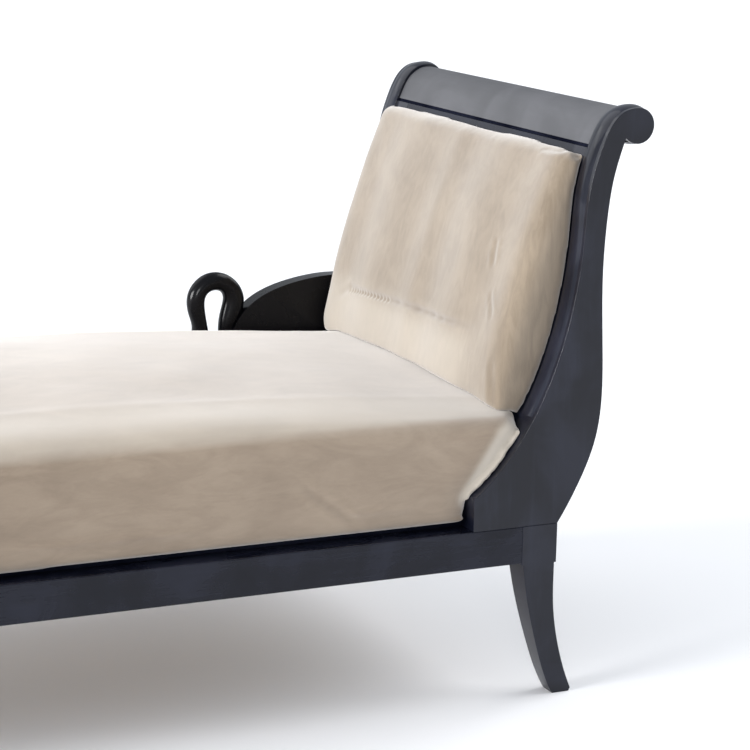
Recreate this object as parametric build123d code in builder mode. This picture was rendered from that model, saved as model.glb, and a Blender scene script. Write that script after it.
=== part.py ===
from build123d import *
import math
import os

os.makedirs("parts", exist_ok=True)

# Recamier: a long upholstered seat on a black lacquered frame, with one raised scrolled end at +X.
# +X is the head end, -Y the front, +Z up. The origin is on the floor, at the centre of the plan.
# Millimetres throughout.

# Overall sizes
length = 1850.0
depth = 722.0
height = 857.0

# Side frames: rails and stiles are boards of one thickness
side_thickness = 40.0
rail_height = 55.0
underside = 204.0
edge_round = 1.5

# Sabre legs with square heads
leg_head_width = 56.0
leg_head_depth = 51.0
leg_head_proud = 1.0
leg_head_drop = 3.0
toe_reach = 31.5
foot_width = 30.0
foot_depth = 28.0
calf_height = 76.0
calf_width = 35.5
calf_step = 27.5
knee_height = 133.0
knee_width = 40.5
knee_step = 42.0
toe_lift = 5.0
toe_nip = 3.0
end_setback = 2.0

# Scrolled stiles, measured from the outer face of the head leg and from the rail
stile_foot = 135.0
notch_height = 48.0
hip_step = 57.0
hip_height = 136.0
waist_step = 1.0
waist_height = 268.0
chest_reach = 26.0
chest_drop = 187.0
shoulder_reach = 49.0
shoulder_drop = 54.0
brow_reach = 66.0
brow_drop = 20.0
volute_reach = 106.0
volute_radius = 25.5
tuck_angle = 221.0
tail_height = 50.0
tail_reach = 29.0
calf_back_height = 119.0
calf_back_reach = 57.0
loin_height = 228.0
loin_reach = 64.5
hollow_drop = 231.0
hollow_reach = 58.6
nape_drop = 128.0
nape_reach = 65.0
run_out = 20.0

# Bead along the front edge of each stile
bead_width = 33.0
bead_rise = 3.0
bead_foot = 418.0
bead_end_angle = 242.0

# Crest rail and the strip below it
crest_setback = 4.0
crest_drop = 55.0
crest_steps = 4
strip_height = 4.5
strip_setback = 7.0
strip_thickness = 12.0

# Back frame that carries the back pad
frame_setback = 3.0
frame_thickness = 17.0
upright_width = 40.0
back_rail_height = 45.0
back_foot = 389.0
back_board = 6.0
back_board_inset = 3.0
back_tenon = 20.0
back_tenon_thickness = 7.0

# Webbing
web_thickness = 1.6
web_width = 50.0
back_web_count = 5
cross_web_count = 13
long_web_count = 5

# Seat frame
frame_play = 2.0
seat_rail_width = 45.0
seat_rail_height = 43.0
seat_frame_low = 251.0
seat_bar_width = 50.0
seat_bar_height = 25.0

# Ledgers, stretchers and corner blocks inside the rails
ledger_width = 30.0
ledger_height = 22.0
stretcher_width = 60.0
stretcher_height = 22.0
stretcher_tenon = 12.0
stretcher_count = 2
corner_leg = 75.0
corner_height = 34.0

# Cushions
seat_reveal = 7.0
seat_front_setback = 12.0
seat_side_height = 144.0
seat_draw = 6.0
seat_corner = 26.0
seat_crown_foot = 22.0
seat_crown_first = 52.0
seat_crown_middle = 66.0
seat_crown_third = 56.0
seat_crown_head = 20.0
seat_shoulder = 92.0
seat_edge_rise = 0.10
seat_corner_rise = 0.24
seat_bend_rise = 0.52
seat_shoulder_rise = 0.73
seat_gap = 1.5
seat_overhang = 45.0
seat_rise_reach = 224.0
seat_level_reach = 560.0
pad_margin = 9.0
pad_top_gap = 4.0
pad_round = 16.0
pad_depth = 32.0
pad_top_fill = 36.0
pad_middle_fill = 70.0
pad_foot_fill = 61.0
pad_top_side = 16.0
pad_middle_side = 42.0
pad_foot_side = 46.0
pad_belly_height = 216.0
pad_foot_height = 36.0
pad_tuck = 18.0
pad_steps = 10
pad_squareness = 5.0

# Swan arm on the rear side
arm_thickness = 30.0
neck_radius = 14.0
crown_radius = 15.0
head_radius = 17.5
bill_radius = 12.6
loop_radius = 33.0
loop_reach = 262.8
loop_height = 471.0
neck_base_height = 402.0
neck_base_lean = 14.0
beak_lean = 27.0
beak_radius = 6.0
leading_step = 26.0
wing_tip_reach = 218.0
wing_tip_height = 451.0
wing_shoulder_reach = 151.0
wing_shoulder_height = 491.0
wing_back_reach = 58.0
wing_back_height = 506.0
breast_reach = 318.0
breast_height = 329.0
breast_foot = 262.0

# Joinery
tenon_length = 25.0
tenon_thickness = 12.0
tenon_height = 31.0
end_tenon = 20.0
dowel_radius = 5.0
dowel_length = 40.0
web_edge = 6.0
crest_dowel_reach = 69.0
crest_dowel_drop = 44.0
bead_gap = 12.0
dowel_edge = 30.0
corner_play = 2.0

# Clearances
fit = 0.2
rest = 0.3

# Steps of the searches for a height or a place on a curve
halvings = 30

# Places worked out from the sizes above
rail_top = underside + rail_height
half_depth = depth / 2
rail_face = half_depth - leg_head_proud
rail_inside = rail_face - side_thickness
stile_top = height - bead_rise
head_face = length / 2 - bead_rise - volute_radius - volute_reach
foot_face = toe_reach - length / 2
head_inner = head_face - leg_head_width
foot_inner = foot_face + leg_head_width
leg_inside = half_depth - leg_head_depth
volute_x = head_face + volute_reach
volute_z = stile_top - volute_radius
crest_foot = stile_top - crest_drop
strip_foot = crest_foot - strip_height
notch_x = head_face - stile_foot
notch_z = rail_top + notch_height
seat_frame_top = seat_frame_low + seat_rail_height
seat_frame_half = rail_inside - frame_play
seat_frame_foot = foot_inner + frame_play
seat_frame_head = head_face - side_thickness - frame_play - frame_thickness
seat_low = rail_top + seat_reveal
seat_edge = seat_low + seat_side_height
seat_front = -(rail_face - seat_front_setback)
arm_face = rail_face - arm_thickness
seat_rear = arm_face - seat_gap
seat_middle = (seat_front + seat_rear) / 2
seat_foot = foot_face + seat_front_setback
pad_half = rail_inside - pad_margin
pad_top = strip_foot - pad_top_gap
pad_foot = seat_edge - seat_corner
ledger_low = seat_frame_low - ledger_height
stretcher_low = ledger_low - stretcher_height
ledger_foot = foot_inner + corner_leg
ledger_head = head_inner - corner_leg
corner_low = seat_frame_low - corner_height - corner_play
web_lift = web_thickness + fit
web_top = seat_frame_top + web_thickness + web_lift
crest_dowel_places = [
    (volute_x, volute_z),
    (head_face + crest_dowel_reach, stile_top - crest_dowel_drop),
]
back_rail_places = [back_foot, strip_foot - back_rail_height]
foot_dowel_x = notch_x + dowel_edge
head_dowel_x = head_face - end_setback - side_thickness / 2
arm_dowel_places = [notch_x - dowel_edge, head_face - breast_foot + dowel_edge]
shoulder = (head_face + shoulder_reach, stile_top - shoulder_drop)
shoulder_run = (0.36, 0.93)
tail_run = (0.55, 0.83)
nape_run = (0.33, 0.94)
tuck_across = math.cos(math.radians(tuck_angle))
tuck_down = math.sin(math.radians(tuck_angle))
tuck = (volute_x + volute_radius * tuck_across, volute_z + volute_radius * tuck_down)


def finish(piece, name):
    """Label a finished piece and write it to its own file."""
    piece.part.label = name
    export_step(piece.part, f"parts/{name}.step")


def across(y):
    """Side-view plane at depth y: local x is X, local y is Z, and it faces the front."""
    return Plane(origin=(0, y, 0), x_dir=(1, 0, 0), z_dir=(0, -1, 0))


def block(x_low, x_high, y_low, y_high, z_low, z_high, mode=Mode.ADD):
    """A plain box between six planes."""
    centre = ((x_low + x_high) / 2, (y_low + y_high) / 2, (z_low + z_high) / 2)
    with Locations(centre):
        Box(x_high - x_low, y_high - y_low, z_high - z_low, mode=mode)


def spread(low, high, count):
    """Even places between two ends, with half a step left at each end."""
    step = (high - low) / count
    return [low + step * (index + 0.5) for index in range(count)]


def further(point, run, distance):
    """The point that lies a distance further on along a run."""
    return (point[0] + distance * run[0], point[1] + distance * run[1])


def front_curve():
    """Front edge of a stile, from the notch over the seat up to the shoulder."""
    return Spline(
        (notch_x, notch_z),
        (head_face - hip_step, rail_top + hip_height),
        (head_face + waist_step, rail_top + waist_height),
        (head_face + chest_reach, stile_top - chest_drop),
        shoulder,
        tangents=[(0.8, 0.6), shoulder_run],
    )


def scroll_spline():
    """Front edge of a stile from the shoulder to the top of the volute."""
    return Spline(
        shoulder,
        (head_face + brow_reach, stile_top - brow_drop),
        (volute_x, stile_top),
        tangents=[shoulder_run, (1, 0)],
    )


def scroll_curve(inset=0.0, end_angle=tuck_angle):
    """The volute's round from its top to an angle under it, drawn in by an inset."""
    CenterArc((volute_x, volute_z), volute_radius - inset, 90, -180)
    CenterArc((volute_x, volute_z), volute_radius - inset, -90, end_angle - 270)


def back_curve():
    """Back edge of a stile, from the rail up to the volute."""
    return Spline(
        (head_face, rail_top),
        (head_face + tail_reach, rail_top + tail_height),
        (head_face + calf_back_reach, rail_top + calf_back_height),
        (head_face + loin_reach, rail_top + loin_height),
        (head_face + hollow_reach, stile_top - hollow_drop),
        (head_face + nape_reach, stile_top - nape_drop),
        tuck,
        tangents=[tail_run, nape_run],
    )


def stile_outline():
    """Closed side view of a stile."""
    front_curve()
    scroll_spline()
    scroll_curve()
    back_curve()
    Polyline((head_face, rail_top), (notch_x, rail_top), (notch_x, notch_z))


def curved_slab(half_width, near, far, z_low, z_high):
    """A slab between the stiles that follows their front edge, from near to far behind it."""
    with BuildPart() as slab:
        with BuildLine(Plane.XZ) as run:
            front_curve()
            Line(shoulder, further(shoulder, shoulder_run, run_out))
        with BuildSketch(Plane(origin=run.line @ 0, x_dir=(0, 1, 0), z_dir=run.line % 0)):
            with Locations((0, -(near + far) / 2)):
                Rectangle(2 * half_width, far - near)
        sweep(path=run.line)
        block(notch_x - depth, volute_x + depth, -depth, depth, z_low, z_high, Mode.INTERSECT)
    return slab.part


def side_name(side):
    """Front is the side at -Y, rear the one at +Y."""
    return "front" if side < 0 else "rear"


def end_name(end):
    """Head is the raised end at +X, foot the low end at -X."""
    return "head" if end > 0 else "foot"


def place(piece, side, end):
    """Move a piece built for the front head corner, at the head leg's outer faces, to any corner."""
    if side > 0:
        piece = piece.mirror(Plane.XZ)
    if end < 0:
        piece = piece.mirror(Plane.YZ)
    return piece.moved(Location((head_face if end > 0 else foot_face, 0, 0)))


def leg(under_stile):
    """Front head leg: a sabre leg with a square head, mortised for the side rail and end rail."""
    top = underside - leg_head_drop
    inside = -leg_inside
    with BuildPart() as piece:
        with BuildSketch(across(inside)):
            with BuildLine():
                Line((-toe_nip, top), (-toe_nip, top - toe_nip))
                Spline(
                    (-toe_nip, top - toe_nip),
                    (knee_width - knee_step, knee_height),
                    (calf_width - calf_step, calf_height),
                    (toe_reach, toe_lift),
                    tangents=[(0, -1), (0.4, -0.92)],
                )
                Polyline((toe_reach, toe_lift), (toe_reach - toe_nip, 0), (toe_reach - foot_width, 0))
                Spline(
                    (toe_reach - foot_width, 0),
                    (-calf_step, calf_height),
                    (-knee_step, knee_height),
                    (toe_nip - leg_head_width, top),
                    tangents=[(-0.5, 0.87), (-0.1, 1)],
                )
                Line((toe_nip - leg_head_width, top), (-toe_nip, top))
            make_face()
        extrude(amount=leg_head_depth)
        with BuildSketch(Plane.YZ):
            Polygon(
                (-half_depth, 0),
                (foot_depth - half_depth, 0),
                (inside - toe_nip, top),
                (-half_depth, top),
                align=None,
            )
        extrude(amount=leg_head_width + toe_reach, both=True, mode=Mode.INTERSECT)
        long_edges = piece.edges().filter_by(lambda edge: edge.length > knee_height)
        chamfer(long_edges, edge_round / 2)
        block(-leg_head_width, 0, -half_depth, inside, top, rail_top)
        chamfer(piece.edges().filter_by(Axis.Z).group_by(Axis.Z)[-1], edge_round / 2)
        side_mortise()
        end_mortise()
        if under_stile:
            dowel_hole(head_dowel_x - head_face, side_thickness / 4 - rail_face)
    return piece.part


def tenon_low():
    """Underside of the tenons, which are centred in the rail's height."""
    return underside + (rail_height - tenon_height) / 2


def side_mortise():
    """Mortise in a leg head for the tenon of a side rail."""
    middle = side_thickness / 2 - rail_face
    half = tenon_thickness / 2 + fit
    low = tenon_low() - fit
    block(
        -leg_head_width,
        tenon_length - leg_head_width + fit,
        middle - half,
        middle + half,
        low,
        low + tenon_height + 2 * fit,
        Mode.SUBTRACT,
    )


def end_mortise():
    """Mortise in a leg head for the tenon of an end rail, short of the side rail's tenon."""
    middle = -end_setback - side_thickness / 2
    half = tenon_thickness / 2 + fit
    low = tenon_low() - fit
    block(
        middle - half,
        middle + half,
        -leg_inside - end_tenon - fit,
        -leg_inside,
        low,
        low + tenon_height + 2 * fit,
        Mode.SUBTRACT,
    )


def dowel_hole(x, y):
    """Blind hole for an upright dowel in the top of a frame piece."""
    with BuildSketch(Plane.XY.offset(rail_top)) as spot:
        with Locations((x, y)):
            Circle(dowel_radius + fit)
    extrude(spot.sketch, amount=-(dowel_length / 2 + fit), mode=Mode.SUBTRACT)


def side_rail(side):
    """Long rail between the leg heads, tenoned at both ends and housed for the stretchers."""
    low, high = sorted((side * rail_face, side * rail_inside))
    middle = (low + high) / 2
    half = tenon_thickness / 2
    with BuildPart() as piece:
        block(foot_inner + fit, head_inner - fit, low, high, underside, rail_top)
        fillet(piece.edges().filter_by(Axis.X), edge_round)
        block(
            foot_inner - tenon_length,
            head_inner + tenon_length,
            middle - half,
            middle + half,
            tenon_low(),
            tenon_low() + tenon_height,
        )
        inner, deep = side * rail_inside, side * (rail_inside + stretcher_tenon + fit)
        for x in stretcher_places():
            block(
                x - stretcher_width / 2 - fit,
                x + stretcher_width / 2 + fit,
                min(inner, deep),
                max(inner, deep),
                stretcher_low - fit,
                stretcher_low + stretcher_height + fit,
                Mode.SUBTRACT,
            )
        dowel_hole(foot_dowel_x, side * (rail_face - side_thickness / 2))
        if side > 0:
            for x in arm_dowel_places:
                dowel_hole(x, side * (rail_face - arm_thickness / 2))
    return piece


def end_rail(end):
    """Cross rail between the leg heads at one end."""
    outer = head_face - end_setback if end > 0 else foot_face + end_setback
    low, high = sorted((outer, outer - end * side_thickness))
    middle = (low + high) / 2
    with BuildPart() as piece:
        block(low, high, fit - leg_inside, leg_inside - fit, underside, rail_top)
        fillet(piece.edges().filter_by(Axis.Y), edge_round)
        block(
            middle - tenon_thickness / 2,
            middle + tenon_thickness / 2,
            -leg_inside - end_tenon,
            leg_inside + end_tenon,
            tenon_low(),
            tenon_low() + tenon_height,
        )
    return piece


def stretcher_places():
    """Centres of the stretchers, which part the length evenly."""
    bay = (head_inner - foot_inner) / (stretcher_count + 1)
    return [foot_inner + bay * (index + 1) for index in range(stretcher_count)]


def stretchers():
    """Flat cross rails housed in the side rails, under the ledgers."""
    half = rail_inside + stretcher_tenon
    with BuildPart() as piece:
        for x in stretcher_places():
            edge = stretcher_width / 2
            block(x - edge, x + edge, -half, half, stretcher_low, stretcher_low + stretcher_height)
    return piece


def ledger(side):
    """Strip screwed inside a side rail, which carries the seat frame."""
    low, high = sorted((side * rail_inside, side * (rail_inside - ledger_width)))
    with BuildPart() as piece:
        block(ledger_foot, ledger_head, low, high, ledger_low, seat_frame_low)
    return piece


def corner_blocks():
    """Glue blocks that fill the corners between each leg head, its side rail and its end rail."""
    with BuildPart() as piece:
        for end in (-1, 1):
            for side in (-1, 1):
                with BuildSketch(Plane.XY.offset(corner_low)):
                    Polygon(*corner_plan(side, end), align=None)
                extrude(amount=corner_height)
    return piece


def corner_plan(side, end):
    """Plan of one glue block, notched round the inner corner of the leg head."""
    leg_x = head_inner if end > 0 else foot_inner
    rail_x = (head_face if end > 0 else foot_face) - end * (end_setback + side_thickness)
    points = [
        (leg_x - end * corner_leg, side * rail_inside),
        (leg_x, side * rail_inside),
        (leg_x, side * leg_inside),
        (rail_x, side * leg_inside),
        (rail_x, side * (leg_inside - corner_leg)),
    ]
    return points


def stile(side):
    """Scrolled side board that carries the back, drilled for its dowels."""
    with BuildPart() as piece:
        with BuildSketch(across(-rail_inside if side < 0 else rail_face)):
            with BuildLine():
                stile_outline()
            make_face()
        extrude(amount=side_thickness)
        for x, y in stile_dowel_places(side):
            with BuildSketch(Plane.XY.offset(rail_top)):
                with Locations((x, y)):
                    Circle(dowel_radius + fit)
            extrude(amount=dowel_length / 2 + fit, mode=Mode.SUBTRACT)
        with BuildSketch(across(side * rail_inside)):
            with Locations(*crest_dowel_places):
                Circle(dowel_radius + fit)
        extrude(amount=-side * (dowel_length / 2 + fit), mode=Mode.SUBTRACT)
    return piece


def stile_dowel_places(side):
    """Plan places of the dowels under one stile: one in the rail, one in the leg head."""
    return [
        (foot_dowel_x, side * (rail_face - side_thickness / 2)),
        (head_dowel_x, side * (rail_face - side_thickness / 4)),
    ]


def bead(side):
    """Half-round moulding along the front edge of a stile and over its volute."""
    with BuildPart() as piece:
        with BuildLine(Plane.XZ) as run:
            front_curve()
            scroll_spline()
            scroll_curve(end_angle=bead_end_angle)
        middle = side * (rail_inside + bead_width / 2)
        start = Plane(origin=run.line @ 0, x_dir=(0, 1, 0), z_dir=run.line % 0)
        with BuildSketch(start):
            with BuildLine():
                Line((middle + bead_width / 2, 0), (middle - bead_width / 2, 0))
                ThreePointArc(
                    (middle - bead_width / 2, 0),
                    (middle, bead_rise),
                    (middle + bead_width / 2, 0),
                )
            make_face()
        sweep(path=run.line)
        low = bead_foot if side < 0 else wing_back_height + bead_gap
        block(notch_x - depth, volute_x + depth, -depth, depth, 0, low, Mode.SUBTRACT)
    return piece


def crest_outline():
    """Side view of the crest rail: the top of a stile, drawn in all round by the setback."""
    edge = scroll_spline()
    front = []
    for step in range(crest_steps + 1):
        point, run = edge @ (step / crest_steps), edge % (step / crest_steps)
        front.append((point.X + crest_setback * run.Y, point.Y - crest_setback * run.X))
    inner = volute_radius - crest_setback
    roll_end = (volute_x + inner * tuck_across, volute_z + inner * tuck_down)
    nape = (tuck[0] - crest_setback * nape_run[1], tuck[1] + crest_setback * nape_run[0])
    turn = ((roll_end[0] + nape[0]) / 2, (roll_end[1] + nape[1]) / 2 + crest_setback / 3)
    low = further(nape, nape_run, -crest_drop)
    return front, roll_end, turn, nape, low


def crest_rail():
    """Top rail that rolls over between the stiles, set back from their edges."""
    front, roll_end, turn, nape, low = crest_outline()
    with BuildPart() as piece:
        with BuildSketch(across(rail_inside - fit)):
            with BuildLine():
                Spline(*front, tangents=[shoulder_run, (1, 0)])
                scroll_curve(inset=crest_setback)
                ThreePointArc(roll_end, turn, nape)
                Polyline(nape, low, (front[0][0], low[1]), front[0])
            make_face()
            with Locations((head_face, crest_foot - height)):
                Rectangle(4 * depth, 2 * height, mode=Mode.SUBTRACT)
        extrude(amount=2 * (rail_inside - fit))
        for side in (-1, 1):
            with BuildSketch(across(side * (rail_inside - fit))):
                with Locations(*crest_dowel_places):
                    Circle(dowel_radius + fit)
            extrude(amount=side * (dowel_length / 2 + fit), mode=Mode.SUBTRACT)
    return piece


def crest_strip():
    """Narrow dark strip between the crest rail and the back pad."""
    with BuildPart() as piece:
        add(curved_slab(
            rail_inside - fit,
            strip_setback,
            strip_setback + strip_thickness,
            strip_foot,
            crest_foot,
        ))
    return piece


def crest_dowels():
    """Dowels between the crest rail and the stiles."""
    with BuildPart() as piece:
        for side in (-1, 1):
            with BuildSketch(across(side * rail_inside + dowel_length / 2)):
                with Locations(*crest_dowel_places):
                    Circle(dowel_radius)
            extrude(amount=dowel_length)
    return piece


def upright_dowels(places):
    """Standing dowels, half in the frame below and half in the piece above."""
    with BuildPart() as piece:
        with BuildSketch(Plane.XY.offset(rail_top - dowel_length / 2)):
            with Locations(*places):
                Circle(dowel_radius)
        extrude(amount=dowel_length)
    return piece


def back_upright(side):
    """Curved upright screwed to the inside of a stile, mortised for the two back rails."""
    near, far = frame_setback, frame_setback + frame_thickness
    with BuildPart() as piece:
        add(curved_slab(rail_inside - fit, near, far, back_foot, strip_foot))
        if side < 0:
            block(-depth, depth * 2, upright_width - rail_inside, depth, 0, height, Mode.SUBTRACT)
        else:
            block(-depth, depth * 2, -depth, rail_inside - upright_width, 0, height, Mode.SUBTRACT)
        for z in back_rail_places:
            add(back_tenon_slab(z, fit), mode=Mode.SUBTRACT)
    return piece


def back_tenon_slab(z, clearance):
    """The tenons of one back rail, as one long slab with some clearance all round."""
    middle = frame_setback + frame_thickness / 2
    half = back_tenon_thickness / 2 + clearance
    reach = rail_inside - upright_width + back_tenon + clearance
    shoulder_cut = back_rail_height / 5
    return curved_slab(
        reach,
        middle - half,
        middle + half,
        z + shoulder_cut - clearance,
        z + back_rail_height - shoulder_cut + clearance,
    )


def back_rail(z):
    """Cross rail of the back frame, tenoned into both uprights."""
    with BuildPart() as piece:
        add(curved_slab(
            rail_inside - upright_width - fit,
            frame_setback,
            frame_setback + frame_thickness,
            z,
            z + back_rail_height,
        ))
        add(back_tenon_slab(z, 0))
    return piece


def back_webbing():
    """Bands of webbing across the front of the back frame."""
    with BuildPart() as piece:
        half = rail_inside - upright_width / 2
        for z in spread(back_foot + back_rail_height, strip_foot - back_rail_height, back_web_count):
            near = frame_setback - web_thickness
            add(curved_slab(half, near, frame_setback, z - web_width / 2, z + web_width / 2))
    return piece


def outer_back():
    """Bent board that closes the back between the stiles, from the end rail to the crest rail."""
    near, far = back_board_inset, back_board_inset + back_board
    with BuildPart() as piece:
        with BuildLine(Plane.XZ) as run:
            Line(further((head_face, rail_top), tail_run, -run_out), (head_face, rail_top))
            back_curve()
        with BuildSketch(Plane(origin=run.line @ 0, x_dir=(0, 1, 0), z_dir=run.line % 0)):
            with Locations((0, (near + far) / 2)):
                Rectangle(2 * (rail_inside - fit), back_board)
        sweep(path=run.line)
        block(0, length, -depth, depth, rail_top, crest_foot, Mode.INTERSECT)
    return piece


def seat_frame_side(side):
    """Long rail of the loose seat frame, mortised for the end rails and housed for the bars."""
    outer, inner = side * seat_frame_half, side * (seat_frame_half - seat_rail_width)
    low, high = sorted((outer, inner))
    with BuildPart() as piece:
        block(seat_frame_foot, seat_frame_head, low, high, seat_frame_low, seat_frame_top)
        for end in (-1, 1):
            add(seat_end_tenons(end, fit), mode=Mode.SUBTRACT)
        add(seat_bar_solid(fit), mode=Mode.SUBTRACT)
    return piece


def seat_end_tenons(end, clearance):
    """Both tenons of one seat end rail, as one long bar with some clearance all round."""
    edge = seat_frame_head if end > 0 else seat_frame_foot
    middle = edge - end * seat_rail_width / 2
    half = tenon_thickness / 2 + clearance
    reach = seat_frame_half - seat_rail_width + tenon_length + clearance
    cut = seat_rail_height / 4
    with BuildPart() as bar:
        block(
            middle - half,
            middle + half,
            -reach,
            reach,
            seat_frame_low + cut - clearance,
            seat_frame_top - cut + clearance,
        )
    return bar.part


def seat_frame_end(end):
    """Short rail of the seat frame, tenoned into the long rails."""
    edge = seat_frame_head if end > 0 else seat_frame_foot
    low, high = sorted((edge, edge - end * seat_rail_width))
    half = seat_frame_half - seat_rail_width - fit
    with BuildPart() as piece:
        block(low, high, -half, half, seat_frame_low, seat_frame_top)
        add(seat_end_tenons(end, 0))
    return piece


def seat_bar_solid(clearance):
    """The bars across the seat frame, with some clearance all round."""
    half_width = seat_bar_width / 2 + clearance
    reach = seat_frame_half - seat_rail_width + tenon_thickness + clearance
    with BuildPart() as bars:
        for x in stretcher_places():
            block(
                x - half_width,
                x + half_width,
                -reach,
                reach,
                seat_frame_low - clearance,
                seat_frame_low + seat_bar_height + clearance,
            )
    return bars.part


def seat_bars():
    """Bars across the seat frame that keep its long rails from being drawn in."""
    with BuildPart() as piece:
        add(seat_bar_solid(0))
    return piece


def cross_web_places():
    """Centres of the bands of webbing across the seat."""
    inner = seat_rail_width + web_edge
    return spread(seat_frame_foot + inner, seat_frame_head - inner, cross_web_count)


def seat_cross_webbing():
    """Bands of webbing across the seat frame, on top of its long rails."""
    half = seat_frame_half - web_edge
    with BuildPart() as piece:
        for x in cross_web_places():
            edge = web_width / 2
            block(x - edge, x + edge, -half, half, seat_frame_top, seat_frame_top + web_thickness)
    return piece


def seat_long_webbing():
    """Bands of webbing along the seat, woven over and under the bands across it."""
    inner = seat_frame_half - seat_rail_width
    with BuildPart() as piece:
        for index, y in enumerate(spread(-inner, inner, long_web_count)):
            upper = woven_line(1 if index % 2 else -1)
            lower = [(x, z - web_thickness) for x, z in reversed(upper)]
            with BuildSketch(across(y + web_width / 2)):
                Polygon(*upper, *lower, align=None)
            extrude(amount=web_width)
    return piece


def woven_line(first):
    """Upper line of one long band: level on the end rails, over and under the cross bands between."""
    level = seat_frame_top + web_thickness
    over = first
    points = [(seat_frame_foot + web_edge, level), (seat_frame_foot + seat_rail_width, level)]
    for x in cross_web_places():
        edge = web_width / 2 + 2 * web_thickness
        points += [(x - edge, level + over * web_lift), (x + edge, level + over * web_lift)]
        over = -over
    points += [(seat_frame_head - seat_rail_width, level), (seat_frame_head - web_edge, level)]
    return points


def front_x(z):
    """X of the stiles' front edge at height z, found by halving."""
    edge = front_curve()
    low, high = 0.0, 1.0
    for _ in range(halvings):
        middle = (low + high) / 2
        if (edge @ middle).Y < z:
            low = middle
        else:
            high = middle
    return (edge @ low).X


def seat_sections(lift):
    """The seat cushion's cross-sections from the foot end to the head end, lifted by a clearance."""
    head = head_face - seat_overhang
    quarter = (head - seat_foot) / 4
    crowns = [
        seat_crown_foot,
        seat_crown_first,
        seat_crown_middle,
        seat_crown_third,
        seat_crown_head,
    ]
    return [seat_section(seat_foot + quarter * step, crown, lift) for step, crown in enumerate(crowns)]


def seat_section(x, crown, lift):
    """Cross-section of the seat cushion: drawn-in sides, soft corners, full shoulders and a crown."""
    half = (seat_rear - seat_front) / 2
    edge = seat_edge + lift
    nip = seat_corner / 4
    low = (half - seat_draw, seat_low)
    drawn = (half - seat_draw / 3, edge - seat_corner + seat_edge_rise * crown)
    belly = (half, (seat_low + drawn[1]) / 2)
    turn = (half - nip, edge - nip + seat_edge_rise * crown)
    corner = (half - seat_corner, edge + seat_corner_rise * crown)
    bend = (half - (seat_corner + seat_shoulder) / 2, edge + seat_bend_rise * crown)
    full = (half - seat_shoulder, edge + seat_shoulder_rise * crown)
    with BuildSketch(Plane(origin=(x, seat_middle, 0), x_dir=(0, 1, 0), z_dir=(1, 0, 0))) as section:
        with BuildLine():
            Line((-low[0], seat_low), low)
            ThreePointArc(full, (0, edge + crown), (-full[0], full[1]))
            for side in (-1, 1):
                for arc in [(low, belly, drawn), (drawn, turn, corner), (corner, bend, full)]:
                    ThreePointArc(*[(side * out, up) for out, up in arc])
        make_face()
    return section.sketch


def head_region(y_low, y_high, gap):
    """Everything behind the front edges of the stiles, brought forward by a gap."""
    far = head_face + depth
    with BuildPart() as region:
        with BuildSketch(Plane(origin=(-gap, y_high, gap), x_dir=(1, 0, 0), z_dir=(0, -1, 0))):
            with BuildLine():
                front_curve()
                Polyline(shoulder, (far, shoulder[1]), (far, 0), (notch_x, 0), (notch_x, notch_z))
            make_face()
        extrude(amount=y_high - y_low)
    return region.part


def seat_pad():
    """Seat cushion: crowned, drawn in at the sides, and cut to the curve of the stiles."""
    head = head_face - seat_overhang
    span = head - seat_foot
    tongue_top = seat_tongue_top()
    with BuildPart() as piece:
        loft(sections=seat_sections(0))
        with BuildSketch(across(depth)):
            with BuildLine():
                seat_end_outline(head)
            make_face()
        extrude(amount=2 * depth, mode=Mode.INTERSECT)
        with BuildSketch(Plane.XY):
            with Locations(((seat_foot + head) / 2 + seat_corner, seat_middle)):
                RectangleRounded(span + 2 * seat_corner, seat_rear - seat_front, seat_corner)
        extrude(amount=height, mode=Mode.INTERSECT)
        add(head_region(-depth, depth, seat_gap), mode=Mode.SUBTRACT)
        block(
            notch_x - seat_rail_width,
            seat_frame_head,
            -seat_frame_half,
            seat_frame_half,
            seat_low,
            tongue_top,
        )
        block(
            seat_frame_foot - rest,
            head_face,
            -seat_frame_half - rest,
            seat_frame_half + rest,
            0,
            web_top + rest,
            Mode.SUBTRACT,
        )
    return piece


def seat_tongue_top():
    """Height at which the stiles' front edge passes over the head end of the seat frame."""
    low, high = notch_z, seat_edge
    for _ in range(halvings):
        middle = (low + high) / 2
        if front_x(middle) < seat_frame_head:
            low = middle
        else:
            high = middle
    return low


def seat_end_outline(head):
    """Side view of the seat cushion: a drawn-in, rounded foot end under a long, flat crown."""
    corner_low = seat_edge - seat_corner
    nip = seat_corner / 4
    top = seat_edge + seat_crown_middle + seat_draw
    ThreePointArc(
        (seat_foot + seat_draw, seat_low),
        (seat_foot, (seat_low + corner_low) / 2),
        (seat_foot + seat_draw / 3, corner_low),
    )
    ThreePointArc(
        (seat_foot + seat_draw / 3, corner_low),
        (seat_foot + nip, seat_edge - nip),
        (seat_foot + seat_corner, seat_edge),
    )
    ThreePointArc(
        (seat_foot + seat_corner, seat_edge),
        (seat_foot + seat_rise_reach, seat_edge + seat_crown_first),
        (seat_foot + seat_level_reach, top),
    )
    Polyline(
        (seat_foot + seat_level_reach, top),
        (head, top),
        (head, seat_low),
        (seat_foot + seat_draw, seat_low),
    )


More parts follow.
